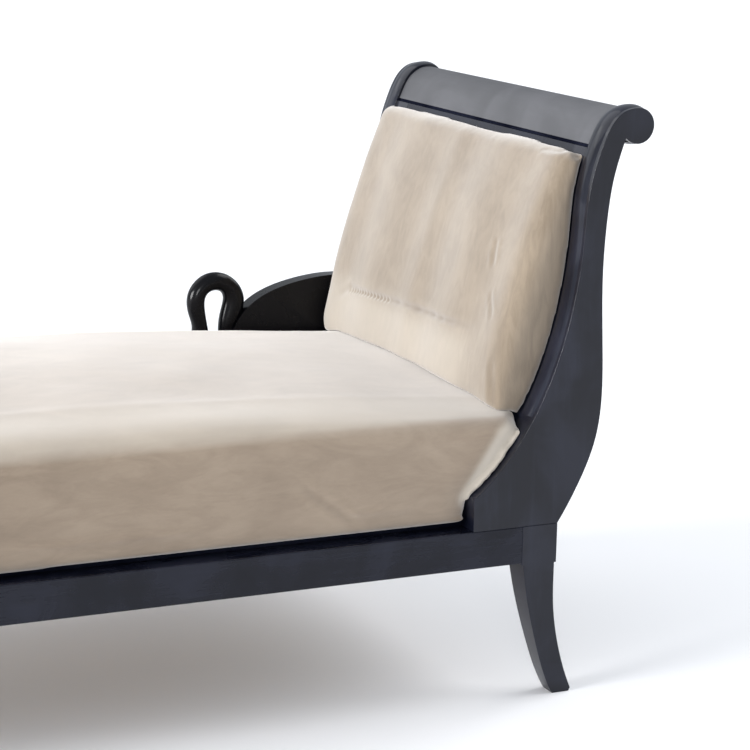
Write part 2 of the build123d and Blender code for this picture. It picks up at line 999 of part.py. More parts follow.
def pad_section(y, share):
    """Side view of the back pad at depth y: share runs from 0 at its sides to 1 in the middle."""
    def fill(at_side, in_middle):
        return at_side + share * (in_middle - at_side)

    foot_z = seat_edge + pad_foot_height
    belly_z = seat_edge + pad_belly_height
    brow_z = pad_top - pad_round
    foot_x = front_x(foot_z) - fill(pad_foot_side, pad_foot_fill)
    belly_x = front_x(belly_z) - fill(pad_middle_side, pad_middle_fill)
    brow_x = front_x(brow_z) - fill(pad_top_side, pad_top_fill)
    back_top = (front_x(pad_top) + pad_depth, pad_top)
    back_foot_point = (front_x(pad_foot) + pad_depth, pad_foot)
    with BuildSketch(across(y)) as section:
        with BuildLine():
            ThreePointArc(
                (foot_x + pad_tuck, pad_foot),
                (foot_x + pad_tuck / 4, (pad_foot + foot_z) / 2),
                (foot_x, foot_z),
            )
            ThreePointArc((foot_x, foot_z), (belly_x, belly_z), (brow_x, brow_z))
            ThreePointArc(
                (brow_x, brow_z),
                (brow_x + pad_round / 3, pad_top - pad_round / 3),
                (brow_x + pad_round, pad_top),
            )
            Polyline(
                (brow_x + pad_round, pad_top),
                back_top,
                back_foot_point,
                (foot_x + pad_tuck, pad_foot),
            )
        make_face()
    return section.sketch


def back_pad():
    """Back cushion: thick over the seat, thin at the top, and laid on the curved back frame."""
    sections = []
    for step in range(pad_steps + 1):
        part_way = math.sin(math.pi * (step / pad_steps - 0.5))
        share = (1 - abs(part_way) ** pad_squareness) ** (1 / pad_squareness)
        sections.append(pad_section(pad_half * part_way, share))
    near = frame_setback - web_thickness - rest
    with BuildPart() as piece:
        loft(sections=sections)
        add(curved_slab(depth, near, near + 2 * pad_depth, 0, height), mode=Mode.SUBTRACT)
        loft(sections=seat_sections(rest), mode=Mode.SUBTRACT)
    return piece


def swan_neck():
    """Swan's neck and head: a round bar that loops over and lays its beak on the breast."""
    with BuildPart() as piece:
        loft(sections=neck_sections())
        block(0, length, 0, depth, 0, neck_base_height, Mode.SUBTRACT)
    return piece


def neck_sections():
    """Circles square to the neck's line, from below its base to below its beak."""
    y = rail_face - arm_thickness / 2
    left = head_face - loop_reach - loop_radius
    right = head_face - loop_reach + loop_radius
    middle = (loop_height + neck_base_height) / 2
    sunk = neck_base_height - beak_radius
    with BuildLine(Plane.XZ) as line:
        ThreePointArc(
            (left + neck_base_lean, sunk),
            (left + neck_base_lean / 3, middle),
            (left, loop_height),
        )
        ThreePointArc(
            (left, loop_height),
            ((left + right) / 2, loop_height + loop_radius),
            (right, loop_height),
        )
        ThreePointArc(
            (right, loop_height),
            (right - beak_lean / 3, middle),
            (right - beak_lean, sunk),
        )
    radii = [neck_radius] * 3 + [crown_radius] * 3 + [head_radius] * 2 + [bill_radius, beak_radius]
    sections = []
    for index, radius in enumerate(radii):
        share = index / (len(radii) - 1)
        point, run = line.line @ share, line.line % share
        with BuildSketch(Plane(origin=(point.X, y, point.Z), x_dir=(0, 1, 0), z_dir=run)) as section:
            Ellipse(min(radius, arm_thickness / 2), radius)
        sections.append(section.sketch)
    return sections


def swan_arm():
    """Rear arm: the swan's breast and wing, one board that rises to the rear stile."""
    tip = (head_face - wing_tip_reach, wing_tip_height)
    under = (tip[0] - leading_step, neck_base_height)
    left = head_face - loop_reach - loop_radius + neck_base_lean - neck_radius - fit
    back_z = rail_top + waist_height - bead_gap
    with BuildPart() as piece:
        with BuildSketch(across(rail_face)):
            with BuildLine():
                Polyline((head_face, back_z), (head_face, rail_top), (head_face - breast_foot, rail_top))
                Spline(
                    (head_face - breast_foot, rail_top),
                    (head_face - breast_reach, breast_height),
                    (left, neck_base_height),
                    tangents=[(-0.8, 0.6), (0.15, 1)],
                )
                Line((left, neck_base_height), under)
                Spline(
                    under,
                    tip,
                    (head_face - wing_shoulder_reach, wing_shoulder_height),
                    (head_face - wing_back_reach, wing_back_height),
                    (head_face, back_z),
                    tangents=[(0.35, 0.94), (0.9, 0.25)],
                )
            make_face()
        extrude(amount=arm_thickness)
        add(head_region(0, depth, 0), mode=Mode.SUBTRACT)
        loft(sections=neck_sections(), mode=Mode.SUBTRACT)
        for x in arm_dowel_places:
            with BuildSketch(Plane.XY.offset(rail_top)):
                with Locations((x, rail_face - arm_thickness / 2)):
                    Circle(dowel_radius + fit)
            extrude(amount=dowel_length / 2 + fit, mode=Mode.SUBTRACT)
    return piece


for end in (-1, 1):
    for side in (-1, 1):
        with BuildPart() as corner_leg_piece:
            add(place(leg(end > 0), side, end))
        finish(corner_leg_piece, f"{side_name(side)}_{end_name(end)}_leg")
    finish(end_rail(end), f"{end_name(end)}_end_rail")
    finish(seat_frame_end(end), f"seat_frame_{end_name(end)}")

for side in (-1, 1):
    name = side_name(side)
    finish(side_rail(side), f"{name}_rail")
    finish(ledger(side), f"{name}_ledger")
    finish(stile(side), f"{name}_stile")
    finish(bead(side), f"{name}_bead")
    finish(back_upright(side), f"{name}_back_upright")
    finish(seat_frame_side(side), f"seat_frame_{name}")

finish(stretchers(), "stretchers")
finish(corner_blocks(), "corner_blocks")
finish(upright_dowels(stile_dowel_places(-1) + stile_dowel_places(1)), "stile_dowels")
finish(crest_rail(), "crest_rail")
finish(crest_strip(), "crest_strip")
finish(crest_dowels(), "crest_dowels")
finish(back_rail(back_rail_places[0]), "lower_back_rail")
finish(back_rail(back_rail_places[1]), "upper_back_rail")
finish(back_webbing(), "back_webbing")
finish(outer_back(), "outer_back")
finish(seat_bars(), "seat_bars")
finish(seat_cross_webbing(), "seat_cross_webbing")
finish(seat_long_webbing(), "seat_long_webbing")
finish(seat_pad(), "seat_pad")
finish(back_pad(), "back_pad")
finish(swan_neck(), "swan_neck")
finish(swan_arm(), "swan_arm")
finish(upright_dowels([(x, rail_face - arm_thickness / 2) for x in arm_dowel_places]), "arm_dowels")
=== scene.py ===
import math
from collections import namedtuple
from contextlib import contextmanager

import bmesh
import bpy
from bpy.props import FloatProperty, FloatVectorProperty, IntProperty, PointerProperty
from bpy.types import Operator, Panel, PropertyGroup
from mathutils import Matrix, Vector, noise
from mathutils.bvhtree import BVHTree


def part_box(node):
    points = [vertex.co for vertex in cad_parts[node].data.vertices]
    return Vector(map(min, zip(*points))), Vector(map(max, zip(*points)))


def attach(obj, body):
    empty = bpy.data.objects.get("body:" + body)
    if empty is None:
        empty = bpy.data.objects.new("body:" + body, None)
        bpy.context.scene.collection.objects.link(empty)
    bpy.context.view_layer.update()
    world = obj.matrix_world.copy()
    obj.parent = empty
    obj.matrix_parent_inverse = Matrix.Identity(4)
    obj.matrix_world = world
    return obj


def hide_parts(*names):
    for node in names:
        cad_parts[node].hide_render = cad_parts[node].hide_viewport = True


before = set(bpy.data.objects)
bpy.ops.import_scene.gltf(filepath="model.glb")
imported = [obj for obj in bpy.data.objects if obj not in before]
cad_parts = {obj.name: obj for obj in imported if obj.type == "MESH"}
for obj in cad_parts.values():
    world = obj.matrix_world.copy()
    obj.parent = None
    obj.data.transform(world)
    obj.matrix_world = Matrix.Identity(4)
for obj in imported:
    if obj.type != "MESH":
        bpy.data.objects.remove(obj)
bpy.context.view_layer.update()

bl_info = {
    "name": "Scroll-ended recamier",
    "version": (1, 0, 0),
    "blender": (4, 5, 0),
    "location": "3D View > Sidebar > Recamier",
    "description": "Lacquers the frame, stuffs the cushions and sets the stage of a recamier",
    "category": "Object",
}

# Metres and radians throughout. +X is the raised head end, -Y the front and +Z up, as in the frame.
WELD = 1e-5  # corners nearer than this become one
FLAT = math.radians(0.4)  # faces that meet at less become one
ARRIS = math.radians(50)  # edges that are sharper are softened
CLEARANCE = 0.0012  # from a cover to its neighbours
WEB_CLEARANCE, WEB_REACH = 0.0015, 0.008  # from the seat cover up to the webbing, and down into it
DRIVE = 0.15  # from how far off a tack or screw is driven
BLOCK_SCREWS = (0.3, 0.7)  # where screws sit along a corner block's height

SEAT_EDGE = 0.410  # height of the seat's long edges
SEAT_FOOT = 0.010  # height of the seat cover's foot, which keeps its place
SEAT_SIDE = 0.3  # beyond this distance from the middle lie the seat's long sides
SEAT_REST, BACK_REST = 0.006, 0.005  # how near to what it rests on a cover keeps its place
SHOULDER_HEIGHTS = (SEAT_EDGE - 0.012, SEAT_EDGE + 0.004)  # where the shoulder fill sets in
SHOULDER_FADE, SHOULDER_LOST = (0.33, 0.68), 0.8  # where it fades along the seat, and by how much
SHOULDER_FOCUS = 1.2  # how closely it keeps to its fullest line
# The seat's end corners, how far round them the cover is drawn out, and how it moves there
SEAT_CORNER, CORNER_REACH, CORNER_PULL = (0.735, 0.338, 0.392), 0.05, (0.006, 0, 0.002)
WAVE_HEIGHT, SEAT_WAVE, BACK_WAVE = 0.0022, 0.13, 0.10  # waves of the stuffing, and their spans
SEAT_ROUNDS, BACK_ROUNDS, ALL_ROUNDS = 4, 8, 3  # smoothing of the free faces, and then of all

# Painted sheen, a pale tone laid where the pile catches the light: its share, and the spans over
# which it sets in
SHOULDER_PAINTED_SHEEN, SHEEN_HEIGHTS, SHEEN_INSETS = 0.5, (SEAT_EDGE + 0.002, SEAT_EDGE + 0.014), (0.12, 0.06)
END_PAINTED_SHEEN, SHEEN_GAPS = 0.85, (0.026, 0.010)
BACK_PAINTED_SHEEN, BACK_SHEEN_HEIGHTS, BACK_SHEEN_SIDES = 0.42, (0.54, 0.48), (-0.26, -0.16)

# How each velvet was stroked: strokes per metre along x, y and z, and patches per metre
STROKES = {"seat": ((9.0, 18.0, 26.0), 6.0), "back": ((60.0, 52.0, 9.0), 8.0)}
# Dark and pale tone of each plain finish
BEECH = (0.43, 0.27, 0.14, 1), (0.6, 0.43, 0.26, 1)
BEECH_FLECK = (0.24, 0.13, 0.06, 1)
JUTE_THREADS = 520  # per metre
JUTE = (0.22, 0.145, 0.075, 1), (0.56, 0.42, 0.26, 1)
STEEL = (0.16, 0.17, 0.2, 1), (0.3, 0.27, 0.24, 1)
FLOOR_CLOUD = (0.84, 0.84, 0.85, 1)
# Each light's bearing from +X towards +Y, height and width, in degrees
LIGHTS = {
    "left_light": (185, 14, 26),
    "near_light": (245, 14, 16),
    "far_light": (125, 14, 26),
    "back_light": (125, 42, 50),
    "right_light": (5, 42, 50),
}

# CAD nodes by finish: eased ones show as copies with softened arrises, and the rest are lacquered
EASED = ["front_stile", "rear_stile"]
EASED += [f"{side}_{end}_leg" for side in ("front", "rear") for end in ("head", "foot")]
EASED += ["crest_rail", "swan_arm"]
PLAIN_WOOD = ["arm_dowels", "crest_dowels", "stile_dowels", "corner_blocks", "stretchers"]
PLAIN_WOOD += ["front_ledger", "rear_ledger", "seat_bars"]
WEBBING = ["back_webbing", "seat_cross_webbing", "seat_long_webbing"]
LACQUERED = sorted({*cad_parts} - {*EASED, *PLAIN_WOOD, *WEBBING, "seat_pad", "back_pad"})
# What each cover keeps clear of
SEAT_NEIGHBOURS = ["front_stile", "rear_stile", "front_rail", "rear_rail", "swan_arm", "swan_neck"]
SEAT_NEIGHBOURS += ["front_back_upright", "rear_back_upright", "lower_back_rail"]
SEAT_NEIGHBOURS += ["front_foot_leg", "rear_foot_leg", "foot_end_rail"]
BACK_NEIGHBOURS = ["front_stile", "rear_stile", "crest_strip", "crest_rail", "swan_arm"]
BACK_NEIGHBOURS.append("seat_cushion")

# A crease worn into a cushion: points along it, its depth, width and raised lip, and how much
# painted shade darkens it
Crease = namedtuple("Crease", "points depth width lip dark")
BACK_CREASES = [
    Crease(
        [
            (0.7068, 0.2812, 0.4733), (0.7134, 0.216, 0.5064), (0.7124, 0.1157, 0.5114),
            (0.7141, 0.0258, 0.5151), (0.715, -0.0616, 0.5173), (0.7166, -0.1442, 0.5192),
            (0.718, -0.2265, 0.5231),
        ],
        0.0034, 0.0055, 0.0008, 0.9,
    ),
    Crease(
        [(0.8067, -0.2377, 0.7883), (0.8086, -0.2818, 0.7894), (0.8154, -0.3048, 0.7877)],
        0.002, 0.005, 0.001, 0.4,
    ),
    Crease(
        [(0.7544, -0.2133, 0.656), (0.7476, -0.2185, 0.6336), (0.7411, -0.2263, 0.6117)],
        0.0014, 0.005, 0.0006, 0.3,
    ),
    Crease(
        [(0.7331, -0.2376, 0.5818), (0.7289, -0.2533, 0.5629), (0.725, -0.2686, 0.5441)],
        0.0014, 0.005, 0.0006, 0.3,
    ),
    Crease(
        [(0.7159, -0.2891, 0.5019), (0.7134, -0.2916, 0.4908), (0.7121, -0.3051, 0.4219)],
        0.001, 0.006, 0.0006, 0.15,
    ),
]
SEAT_CREASES = [
    Crease(
        [(0.3929, -0.348, 0.3495), (0.4383, -0.3476, 0.3179), (0.4875, -0.3439, 0.2802)],
        0.0016, 0.006, 0.001, 0.15,
    ),
    Crease(
        [(-0.0221, -0.3462, 0.3001), (0.1081, -0.3462, 0.2997), (0.2586, -0.346, 0.2976)],
        -0.0016, 0.006, 0.0, 0.0,
    ),
    Crease(
        [(0.4601, -0.3465, 0.3025), (0.515, -0.3463, 0.3012), (0.566, -0.346, 0.2989)],
        -0.0016, 0.006, 0.0, 0.0,
    ),
]
CREASE_REACH, CREASE_FADE = 0.02, 0.2  # how near its mesh is split, and the share that fades out
CREASE_DRIFT, DRIFT_SCALE = (0.8, 0.4), 45  # mean strength, how much it varies, and how fast
# The line of the seat's end along the front stile
SEAT_END = [
    (0.742, -0.335, 0.405),
    (0.712, -0.344, 0.3874),
    (0.685, -0.348, 0.3464),
    (0.658, -0.3466, 0.3046),
]
# Stitch-like dimples along the back's long crease
PUCKERS = [(0.713, 0.216 - 0.011 * index, 0.5015 + 0.0008 * index) for index in range(14)]
PUCKER_DEPTH, PUCKER_WIDTH = 0.0025, 0.0035


def size(name, text, value, low=0.0, high=10.0):
    """A length that a user may set."""
    return FloatProperty(
        name=name, description=text, default=value, min=low, max=high, precision=4, unit="LENGTH"
    )


def share(name, text, value, low=0.0, high=1.0):
    """A plain number that a user may set."""
    return FloatProperty(name=name, description=text, default=value, min=low, max=high)


def colour(name, text, value):
    """A colour that a user may set."""
    limits = {"min": 0, "max": 1}
    return FloatVectorProperty(name=name, description=text, default=value, subtype="COLOR", **limits)


def turn(name, text, degrees):
    """An angle that a user may set."""
    return FloatProperty(name=name, description=text, default=math.radians(degrees), subtype="ANGLE")


class RecamierStage(PropertyGroup):
    """Camera, floor and lights."""

    camera_place: FloatVectorProperty(
        name="Camera place",
        description="Where the camera stands",
        default=(-0.7954, -3.1718, 1.2006),
        subtype="XYZ",
        unit="LENGTH",
    )
    camera_yaw: turn("Yaw", "Turn of the camera from +Y towards +X", 24.68)
    camera_pitch: turn("Pitch", "Tilt of the camera below the horizon", 12.76)
    camera_roll: turn("Roll", "Turn of the camera about its own line of sight", -1.19)
    camera_lens: FloatProperty(
        name="Lens", description="Focal length on a 36 mm sensor", default=111.5, unit="CAMERA"
    )
    floor_tone: colour("Floor", "Tone of the floor", (0.865, 0.867, 0.88))
    floor_radius: size("Floor radius", "How far the floor reaches", 60.0, 5.0, 200.0)
    room_tone: colour("Room", "Tone of the room around", (0.87, 0.925, 1.0))
    room_light: share("Room light", "Strength of the light from all round", 0.62, 0, 10)
    left_light: share("Left light", "Strength of the low light from the left", 4.05, 0, 20)
    near_light: share("Near light", "Strength of the low light from the front left", 1.0, 0, 20)
    far_light: share("Far light", "Strength of the low light from behind the left", 0.12, 0, 20)
    back_light: share("Back light", "Strength of the high light from behind the left", 0.55, 0, 20)
    right_light: share("Right light", "Strength of the high light from the right", 1.9, 0, 20)


class RecamierLacquer(PropertyGroup):
    """The black lacquer of the frame."""

    deep: colour("Deep tone", "Tone of the lacquer in its depth", (0.003, 0.0036, 0.008))
    worn: colour("Worn tone", "Tone where the lacquer is thin or handled", (0.014, 0.016, 0.028))
    # Painted reflection: the crest's black lacquer is raised to grey to stand for the bright room
    # its satin face reflects; haze and rub marks on it vary at random
    crest_reflection_tone: colour("Crest tone", "Tone of the crest rail, rubbed grey", (0.1, 0.101, 0.11))
    swan_tone: colour("Swan tone", "Tone of the swan, the deepest black", (0.003, 0.003, 0.004))
    gloss: share("Roughness", "Roughness of the polished face", 0.22)
    easing: size("Easing", "Width of the softened arrises", 0.0014, 0.0, 0.005)


class RecamierVelvet(PropertyGroup):
    """The velvet of both cushions."""

    seat_raised: colour("Raised pile, seat", "Tone of the seat's raised pile", (0.315, 0.245, 0.176))
    seat_laid: colour("Laid pile, seat", "Tone of the seat's flat pile", (0.145, 0.1, 0.063))
    seat_sheen: share("Seat sheen", "Light that the tips of the seat's pile scatter", 0.75)
    back_raised: colour("Raised pile, back", "Tone of the back's raised pile", (0.265, 0.21, 0.15))
    back_laid: colour("Laid pile, back", "Tone of the back's flat pile", (0.115, 0.083, 0.052))
    back_sheen: share("Back sheen", "Light that the tips of the back's pile scatter", 0.72)
    sheen_tone: colour("Sheen tone", "Tone of the light at the pile's tips", (1.0, 0.98, 0.965))
    sheen_spread: share("Sheen spread", "How widely the tips of the pile scatter light", 0.6)
    # Painted sheen: the pale tone blended in on the seat's front shoulder and end, and on the back's
    # lower part
    standing_tone: colour("Standing tone", "Tone of pile left standing", (0.5, 0.45, 0.38))
    # Painted shade: the dark tone blended into the depth of each crease
    crease_tone: colour("Crease tone", "Tone in the depth of a crease", (0.1, 0.07, 0.045))
    seat_contrast: share("Seat strokes", "How much the strokes on the seat show", 0.34)
    back_contrast: share("Back strokes", "How much the strokes on the back show", 0.38)


class RecamierCushions(PropertyGroup):
    """How the cushions are stuffed."""

    seat_mesh: size("Seat mesh", "Edge length of the seat cover's mesh", 0.0115, 0.004, 0.05)
    back_mesh: size("Back mesh", "Edge length of the back cover's mesh", 0.008, 0.004, 0.05)
    slack: size("Slack", "How far the cover starts inside its final shape", 0.004, 0.0, 0.02)
    swell: size("Swell", "Most that the filling may move the cover", 0.007, 0.0, 0.05)
    shape_kept: share("Shape kept", "How closely a cover keeps to its cushion's planned shape", 0.9)
    shoulder_fill: size("Shoulder fill", "Extra height along the seat's edges", 0.017, 0.0, 0.03)
    shoulder_inset: size("Shoulder inset", "From the edge to the fullest line", 0.026, 0.01, 0.1)
    end_turn: size("End turn", "How far the front turns back at the head end", 0.010, 0.0, 0.03)
    end_reach: size("End reach", "Width of the turned part", 0.045, 0.01, 0.2)
    back_spare: size("Back spare", "Extra width of the back cover at each side", 0.006, 0.0, 0.02)
    pressure: share("Pressure", "How hard the filling pushes", 4.0, 0, 20)
    steps: IntProperty(name="Steps", description="Steps of the stuffing", default=20, min=1)


class RecamierFasteners(PropertyGroup):
    """Tacks in the webbing and screws in the frame."""

    tack_radius: size("Tack radius", "Radius of a tack's head", 0.004, 0.001, 0.01)
    tack_inset: size("Tack inset", "From the end of a strap to its tacks", 0.010, 0.001, 0.05)
    tack_count: IntProperty(name="Tacks", description="At each end of a strap", default=4, min=1)
    screw_radius: size("Screw radius", "Radius of a screw's head", 0.0045, 0.001, 0.01)
    screw_slot: size("Screw slot", "Width of the slot in a screw's head", 0.0011, 0.0002, 0.003)
    screw_step: size("Screw step", "Distance between the ledger screws", 0.18, 0.05, 1.0)


def wire(tree, kind, inputs=None, **settings):
    """Place a node, set it up and feed its inputs with values or with other nodes' outputs."""
    made = tree.nodes.new(kind)
    for name, value in settings.items():
        setattr(made, name, value)
    for name, value in (inputs or {}).items():
        socket = made.inputs[name]
        if isinstance(value, bpy.types.NodeSocket):
            tree.links.new(value, socket)
        else:
            socket.default_value = value
    return made


def blend(tree, factor, first, second):
    """Colour between two colours."""
    mixed = wire(tree, "ShaderNodeMix", {0: factor, 6: first, 7: second}, data_type="RGBA")
    return mixed.outputs[2]


def sums(tree, operation, *values):
    """Result of one step of arithmetic."""
    return wire(tree, "ShaderNodeMath", dict(enumerate(values)), operation=operation).outputs[0]


def spread(tree, value, low=0.0, high=1.0, bottom=0.0, top=1.0):
    """A value moved from one span to another with soft ends."""
    inputs = {"Value": value, "From Min": low, "From Max": high, "To Min": bottom, "To Max": top}
    return wire(tree, "ShaderNodeMapRange", inputs, interpolation_type="SMOOTHSTEP").outputs[0]


def grain(tree, vector, scale, detail=3.0, roughness=0.5, distortion=0.0):
    """Soft noise at a scale per metre."""
    inputs = {"Vector": vector, "Scale": scale, "Detail": detail}
    inputs.update({"Roughness": roughness, "Distortion": distortion})
    return wire(tree, "ShaderNodeTexNoise", inputs).outputs[0]


def stretched(tree, vector, scale):
    """The same places, scaled along each axis."""
    inputs = {"Vector": vector, "Scale": scale}
    return wire(tree, "ShaderNodeMapping", inputs).outputs[0]


def node_group(name, kind, inputs, outputs):
    """An empty node group, with its inputs and outputs as labels with their kinds of socket."""
    tree = bpy.data.node_groups.new(name, f"{kind}NodeTree")
    for way, sockets in (("INPUT", inputs), ("OUTPUT", outputs)):
        for label, form in sockets.items():
            tree.interface.new_socket(name=label, in_out=way, socket_type=f"NodeSocket{form}")
    source, sink = tree.nodes.new("NodeGroupInput"), tree.nodes.new("NodeGroupOutput")
    return tree, source.outputs, sink.inputs


def nap_group():
    """How the pile of the velvet was stroked: its shade, and the height of its fibres."""
    inputs = {"Vector": "Vector", "Stroke": "Vector", "Patch Scale": "Float", "Contrast": "Float"}
    outputs = {"Shade": "Float", "Fibre": "Float"}
    tree, source, sink = node_group("brushed_nap", "Shader", inputs, outputs)
    place = source["Vector"]
    along = stretched(tree, place, source["Stroke"])
    patches = grain(tree, place, source["Patch Scale"], 2.0, 0.5, 0.8)
    strokes = grain(tree, along, 1.0, 3.0, 0.6, 1.6)
    specks = grain(tree, along, 4.5, 3.0, 0.65, 0.8)
    drift = sums(tree, "SUBTRACT", spread(tree, patches, 0.3, 0.7), 0.5)
    stroke = sums(tree, "SUBTRACT", spread(tree, strokes, 0.32, 0.68), 0.5)
    speck = sums(tree, "SUBTRACT", specks, 0.5)
    mixed = sums(tree, "MULTIPLY_ADD", stroke, 0.6, sums(tree, "MULTIPLY", drift, 0.55))
    mixed = sums(tree, "MULTIPLY_ADD", speck, 0.9, mixed)
    shade = sums(tree, "MULTIPLY_ADD", mixed, source["Contrast"], 0.5)
    tree.links.new(wire(tree, "ShaderNodeClamp", {0: shade}).outputs[0], sink["Shade"])
    tree.links.new(grain(tree, place, 1400.0, 2.0, 0.6), sink["Fibre"])
    return tree


def polish_group():
    """Uneven polish: slow changes of gloss, faint rubbing marks and the ripple of lacquer."""
    outputs = {"Haze": "Float", "Rubbed": "Float", "Ripple": "Float"}
    inputs = {"Vector": "Vector", "Rub Scale": "Vector"}
    tree, source, sink = node_group("hand_polish", "Shader", inputs, outputs)
    place = source["Vector"]
    rubbed = stretched(tree, place, source["Rub Scale"])
    haze = spread(tree, grain(tree, place, 9.0, 3.0, 0.55, 0.5), 0.35, 0.7)
    tree.links.new(haze, sink["Haze"])
    marks = spread(tree, grain(tree, rubbed, 1.0, 5.0, 0.65, 0.3), 0.45, 0.8)
    tree.links.new(marks, sink["Rubbed"])
    tree.links.new(grain(tree, place, 160.0, 1.0, 0.4), sink["Ripple"])
    return tree


def effect(tree, name, inputs):
    """What a shared effect puts out, from a group that is built once."""
    makers = {"brushed_nap": nap_group, "hand_polish": polish_group}
    group = bpy.data.node_groups.get(name) or makers[name]()
    return wire(tree, "ShaderNodeGroup", inputs, node_tree=group).outputs


def finish(name, shader_values):
    """A new material with its main shader, and where the pattern on it is read from."""
    material = bpy.data.materials.new(name)
    material.use_nodes = True
    tree = material.node_tree
    shader = tree.nodes["Principled BSDF"]
    for label, value in shader_values.items():
        shader.inputs[label].default_value = value
    place = wire(tree, "ShaderNodeTexCoord").outputs["Object"]
    return material, tree, shader, place


def painted(tree, shader, tone, rough):
    """Let a pattern set a surface's tone and roughness."""
    tree.links.new(tone, shader.inputs["Base Color"])
    tree.links.new(rough, shader.inputs["Roughness"])


def bumped(tree, shader, height, strength, distance):
    """Raise the surface by a height map."""
    inputs = {"Height": height, "Strength": strength, "Distance": distance}
    bump = wire(tree, "ShaderNodeBump", inputs)
    tree.links.new(bump.outputs[0], shader.inputs["Normal"])


def lacquer(name, rub, gloss, specular, tones=None, coat=0.0):
    """Black lacquer over close-grained wood, polished by hand."""
    settings = bpy.context.scene.recamier_lacquer
    deep, worn = tones or (settings.deep, settings.worn)
    values = {"Specular IOR Level": specular, "Coat Weight": coat, "Coat Roughness": 0.06}
    material, tree, shader, place = finish(name, values)
    haze, rubbed, ripple = effect(tree, "hand_polish", {"Vector": place, "Rub Scale": rub})
    wear = sums(tree, "MULTIPLY_ADD", haze, 0.6, sums(tree, "MULTIPLY", rubbed, 0.4))
    tone = blend(tree, wear, (*deep, 1), (*worn, 1))
    rough = sums(tree, "MULTIPLY_ADD", haze, 0.08, gloss)
    painted(tree, shader, tone, sums(tree, "MULTIPLY_ADD", rubbed, 0.10, rough))
    bumped(tree, shader, ripple, 0.05, 0.0004)
    return material


def velvet(part):
    """Short-pile velvet whose shade follows the way it was stroked, with painted shade in its
    creases and painted sheen where its pile catches the light.
    """
    settings = bpy.context.scene.recamier_velvet
    raised, laid, sheen, contrast = (
        getattr(settings, f"{part}_{label}") for label in ("raised", "laid", "sheen", "contrast")
    )
    stroke, patches = STROKES[part]
    values = {
        "Roughness": 0.9,
        "Specular IOR Level": 0.15,
        "Sheen Weight": sheen,
        "Sheen Roughness": settings.sheen_spread,
        "Sheen Tint": (*settings.sheen_tone, 1),
    }
    material, tree, shader, place = finish(f"velvet_{part}", values)
    inputs = {"Vector": place, "Stroke": stroke, "Patch Scale": patches, "Contrast": contrast}
    nap = effect(tree, "brushed_nap", inputs)
    tone = blend(tree, nap["Shade"], (*laid, 1), (*raised, 1))
    # Painted shade in the creases and painted sheen where the pile catches the light, blended into
    # the tone
    for mark in ("crease", "standing"):
        shown = wire(tree, "ShaderNodeAttribute", attribute_name=mark).outputs["Fac"]
        tone = blend(tree, shown, tone, (*getattr(settings, f"{mark}_tone"), 1))
    tree.links.new(tone, shader.inputs["Base Color"])
    bumped(tree, shader, nap["Fibre"], 0.35, 0.0005)
    return material


def beech(name):
    """Planed beech with its short dark flecks along the grain."""
    material, tree, shader, place = finish(name, {"Specular IOR Level": 0.3})
    rings = grain(tree, stretched(tree, place, (1.2, 26.0, 26.0)), 1.0, 4.0, 0.6, 1.5)
    flecks = grain(tree, stretched(tree, place, (90.0, 900.0, 900.0)), 1.0, 2.0, 0.5)
    tone = blend(tree, spread(tree, rings, 0.3, 0.7), *BEECH)
    fleck = spread(tree, flecks, 0.62, 0.72, top=0.5)
    tone = blend(tree, fleck, tone, BEECH_FLECK)
    painted(tree, shader, tone, spread(tree, rings, bottom=0.5, top=0.7))
    bumped(tree, shader, rings, 0.2, 0.0004)
    return material


def jute(name):
    """Coarse jute webbing in plain weave, whose threads cross in rows of sines."""
    material, tree, shader, place = finish(name, {"Specular IOR Level": 0.15})
    x, y, z = wire(tree, "ShaderNodeSeparateXYZ", {0: place}).outputs
    pace = math.pi * JUTE_THREADS
    warp = sums(tree, "SINE", sums(tree, "MULTIPLY", sums(tree, "ADD", x, z), pace))
    weft = sums(tree, "SINE", sums(tree, "MULTIPLY", y, pace))
    thread = spread(tree, sums(tree, "MULTIPLY", warp, weft), -0.6, 0.6)
    height = sums(tree, "ADD", sums(tree, "ABSOLUTE", warp), sums(tree, "ABSOLUTE", weft))
    dirt = grain(tree, place, 60.0, 4.0, 0.6)
    mask = sums(tree, "MULTIPLY", thread, spread(tree, dirt, 0.2, 0.8, bottom=0.5))
    tone = blend(tree, mask, *JUTE)
    painted(tree, shader, tone, spread(tree, dirt, bottom=0.8, top=0.95))
    bumped(tree, shader, height, 0.5, 0.0006)
    return material


def blued_steel(name):
    """Dark steel of tacks and screws."""
    material, tree, shader, place = finish(name, {"Metallic": 1.0, "Specular IOR Level": 0.5})
    spots = grain(tree, place, 300.0, 3.0, 0.6)
    tone = blend(tree, spread(tree, spots, 0.4, 0.7), *STEEL)
    painted(tree, shader, tone, spread(tree, spots, bottom=0.3, top=0.55))
    return material


def put_on(piece, material):
    """Give a piece one finish."""
    piece.data.materials.clear()
    piece.data.materials.append(material)


def dress_node(name, material):
    """Give a CAD node its finish through its object's slot, with its mesh left alone."""
    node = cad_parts[name]
    for slot in node.material_slots:
        slot.link = "OBJECT"
        slot.material = material


def new_piece(name, mesh):
    """An object in the scene that holds a mesh."""
    piece = bpy.data.objects.new(name, mesh)
    bpy.context.scene.collection.objects.link(piece)
    return piece


@contextmanager
def edited(mesh):
    """A mesh, opened for editing and then written back."""
    shape = bmesh.new()
    shape.from_mesh(mesh)
    yield shape
    shape.to_mesh(mesh)
    shape.free()


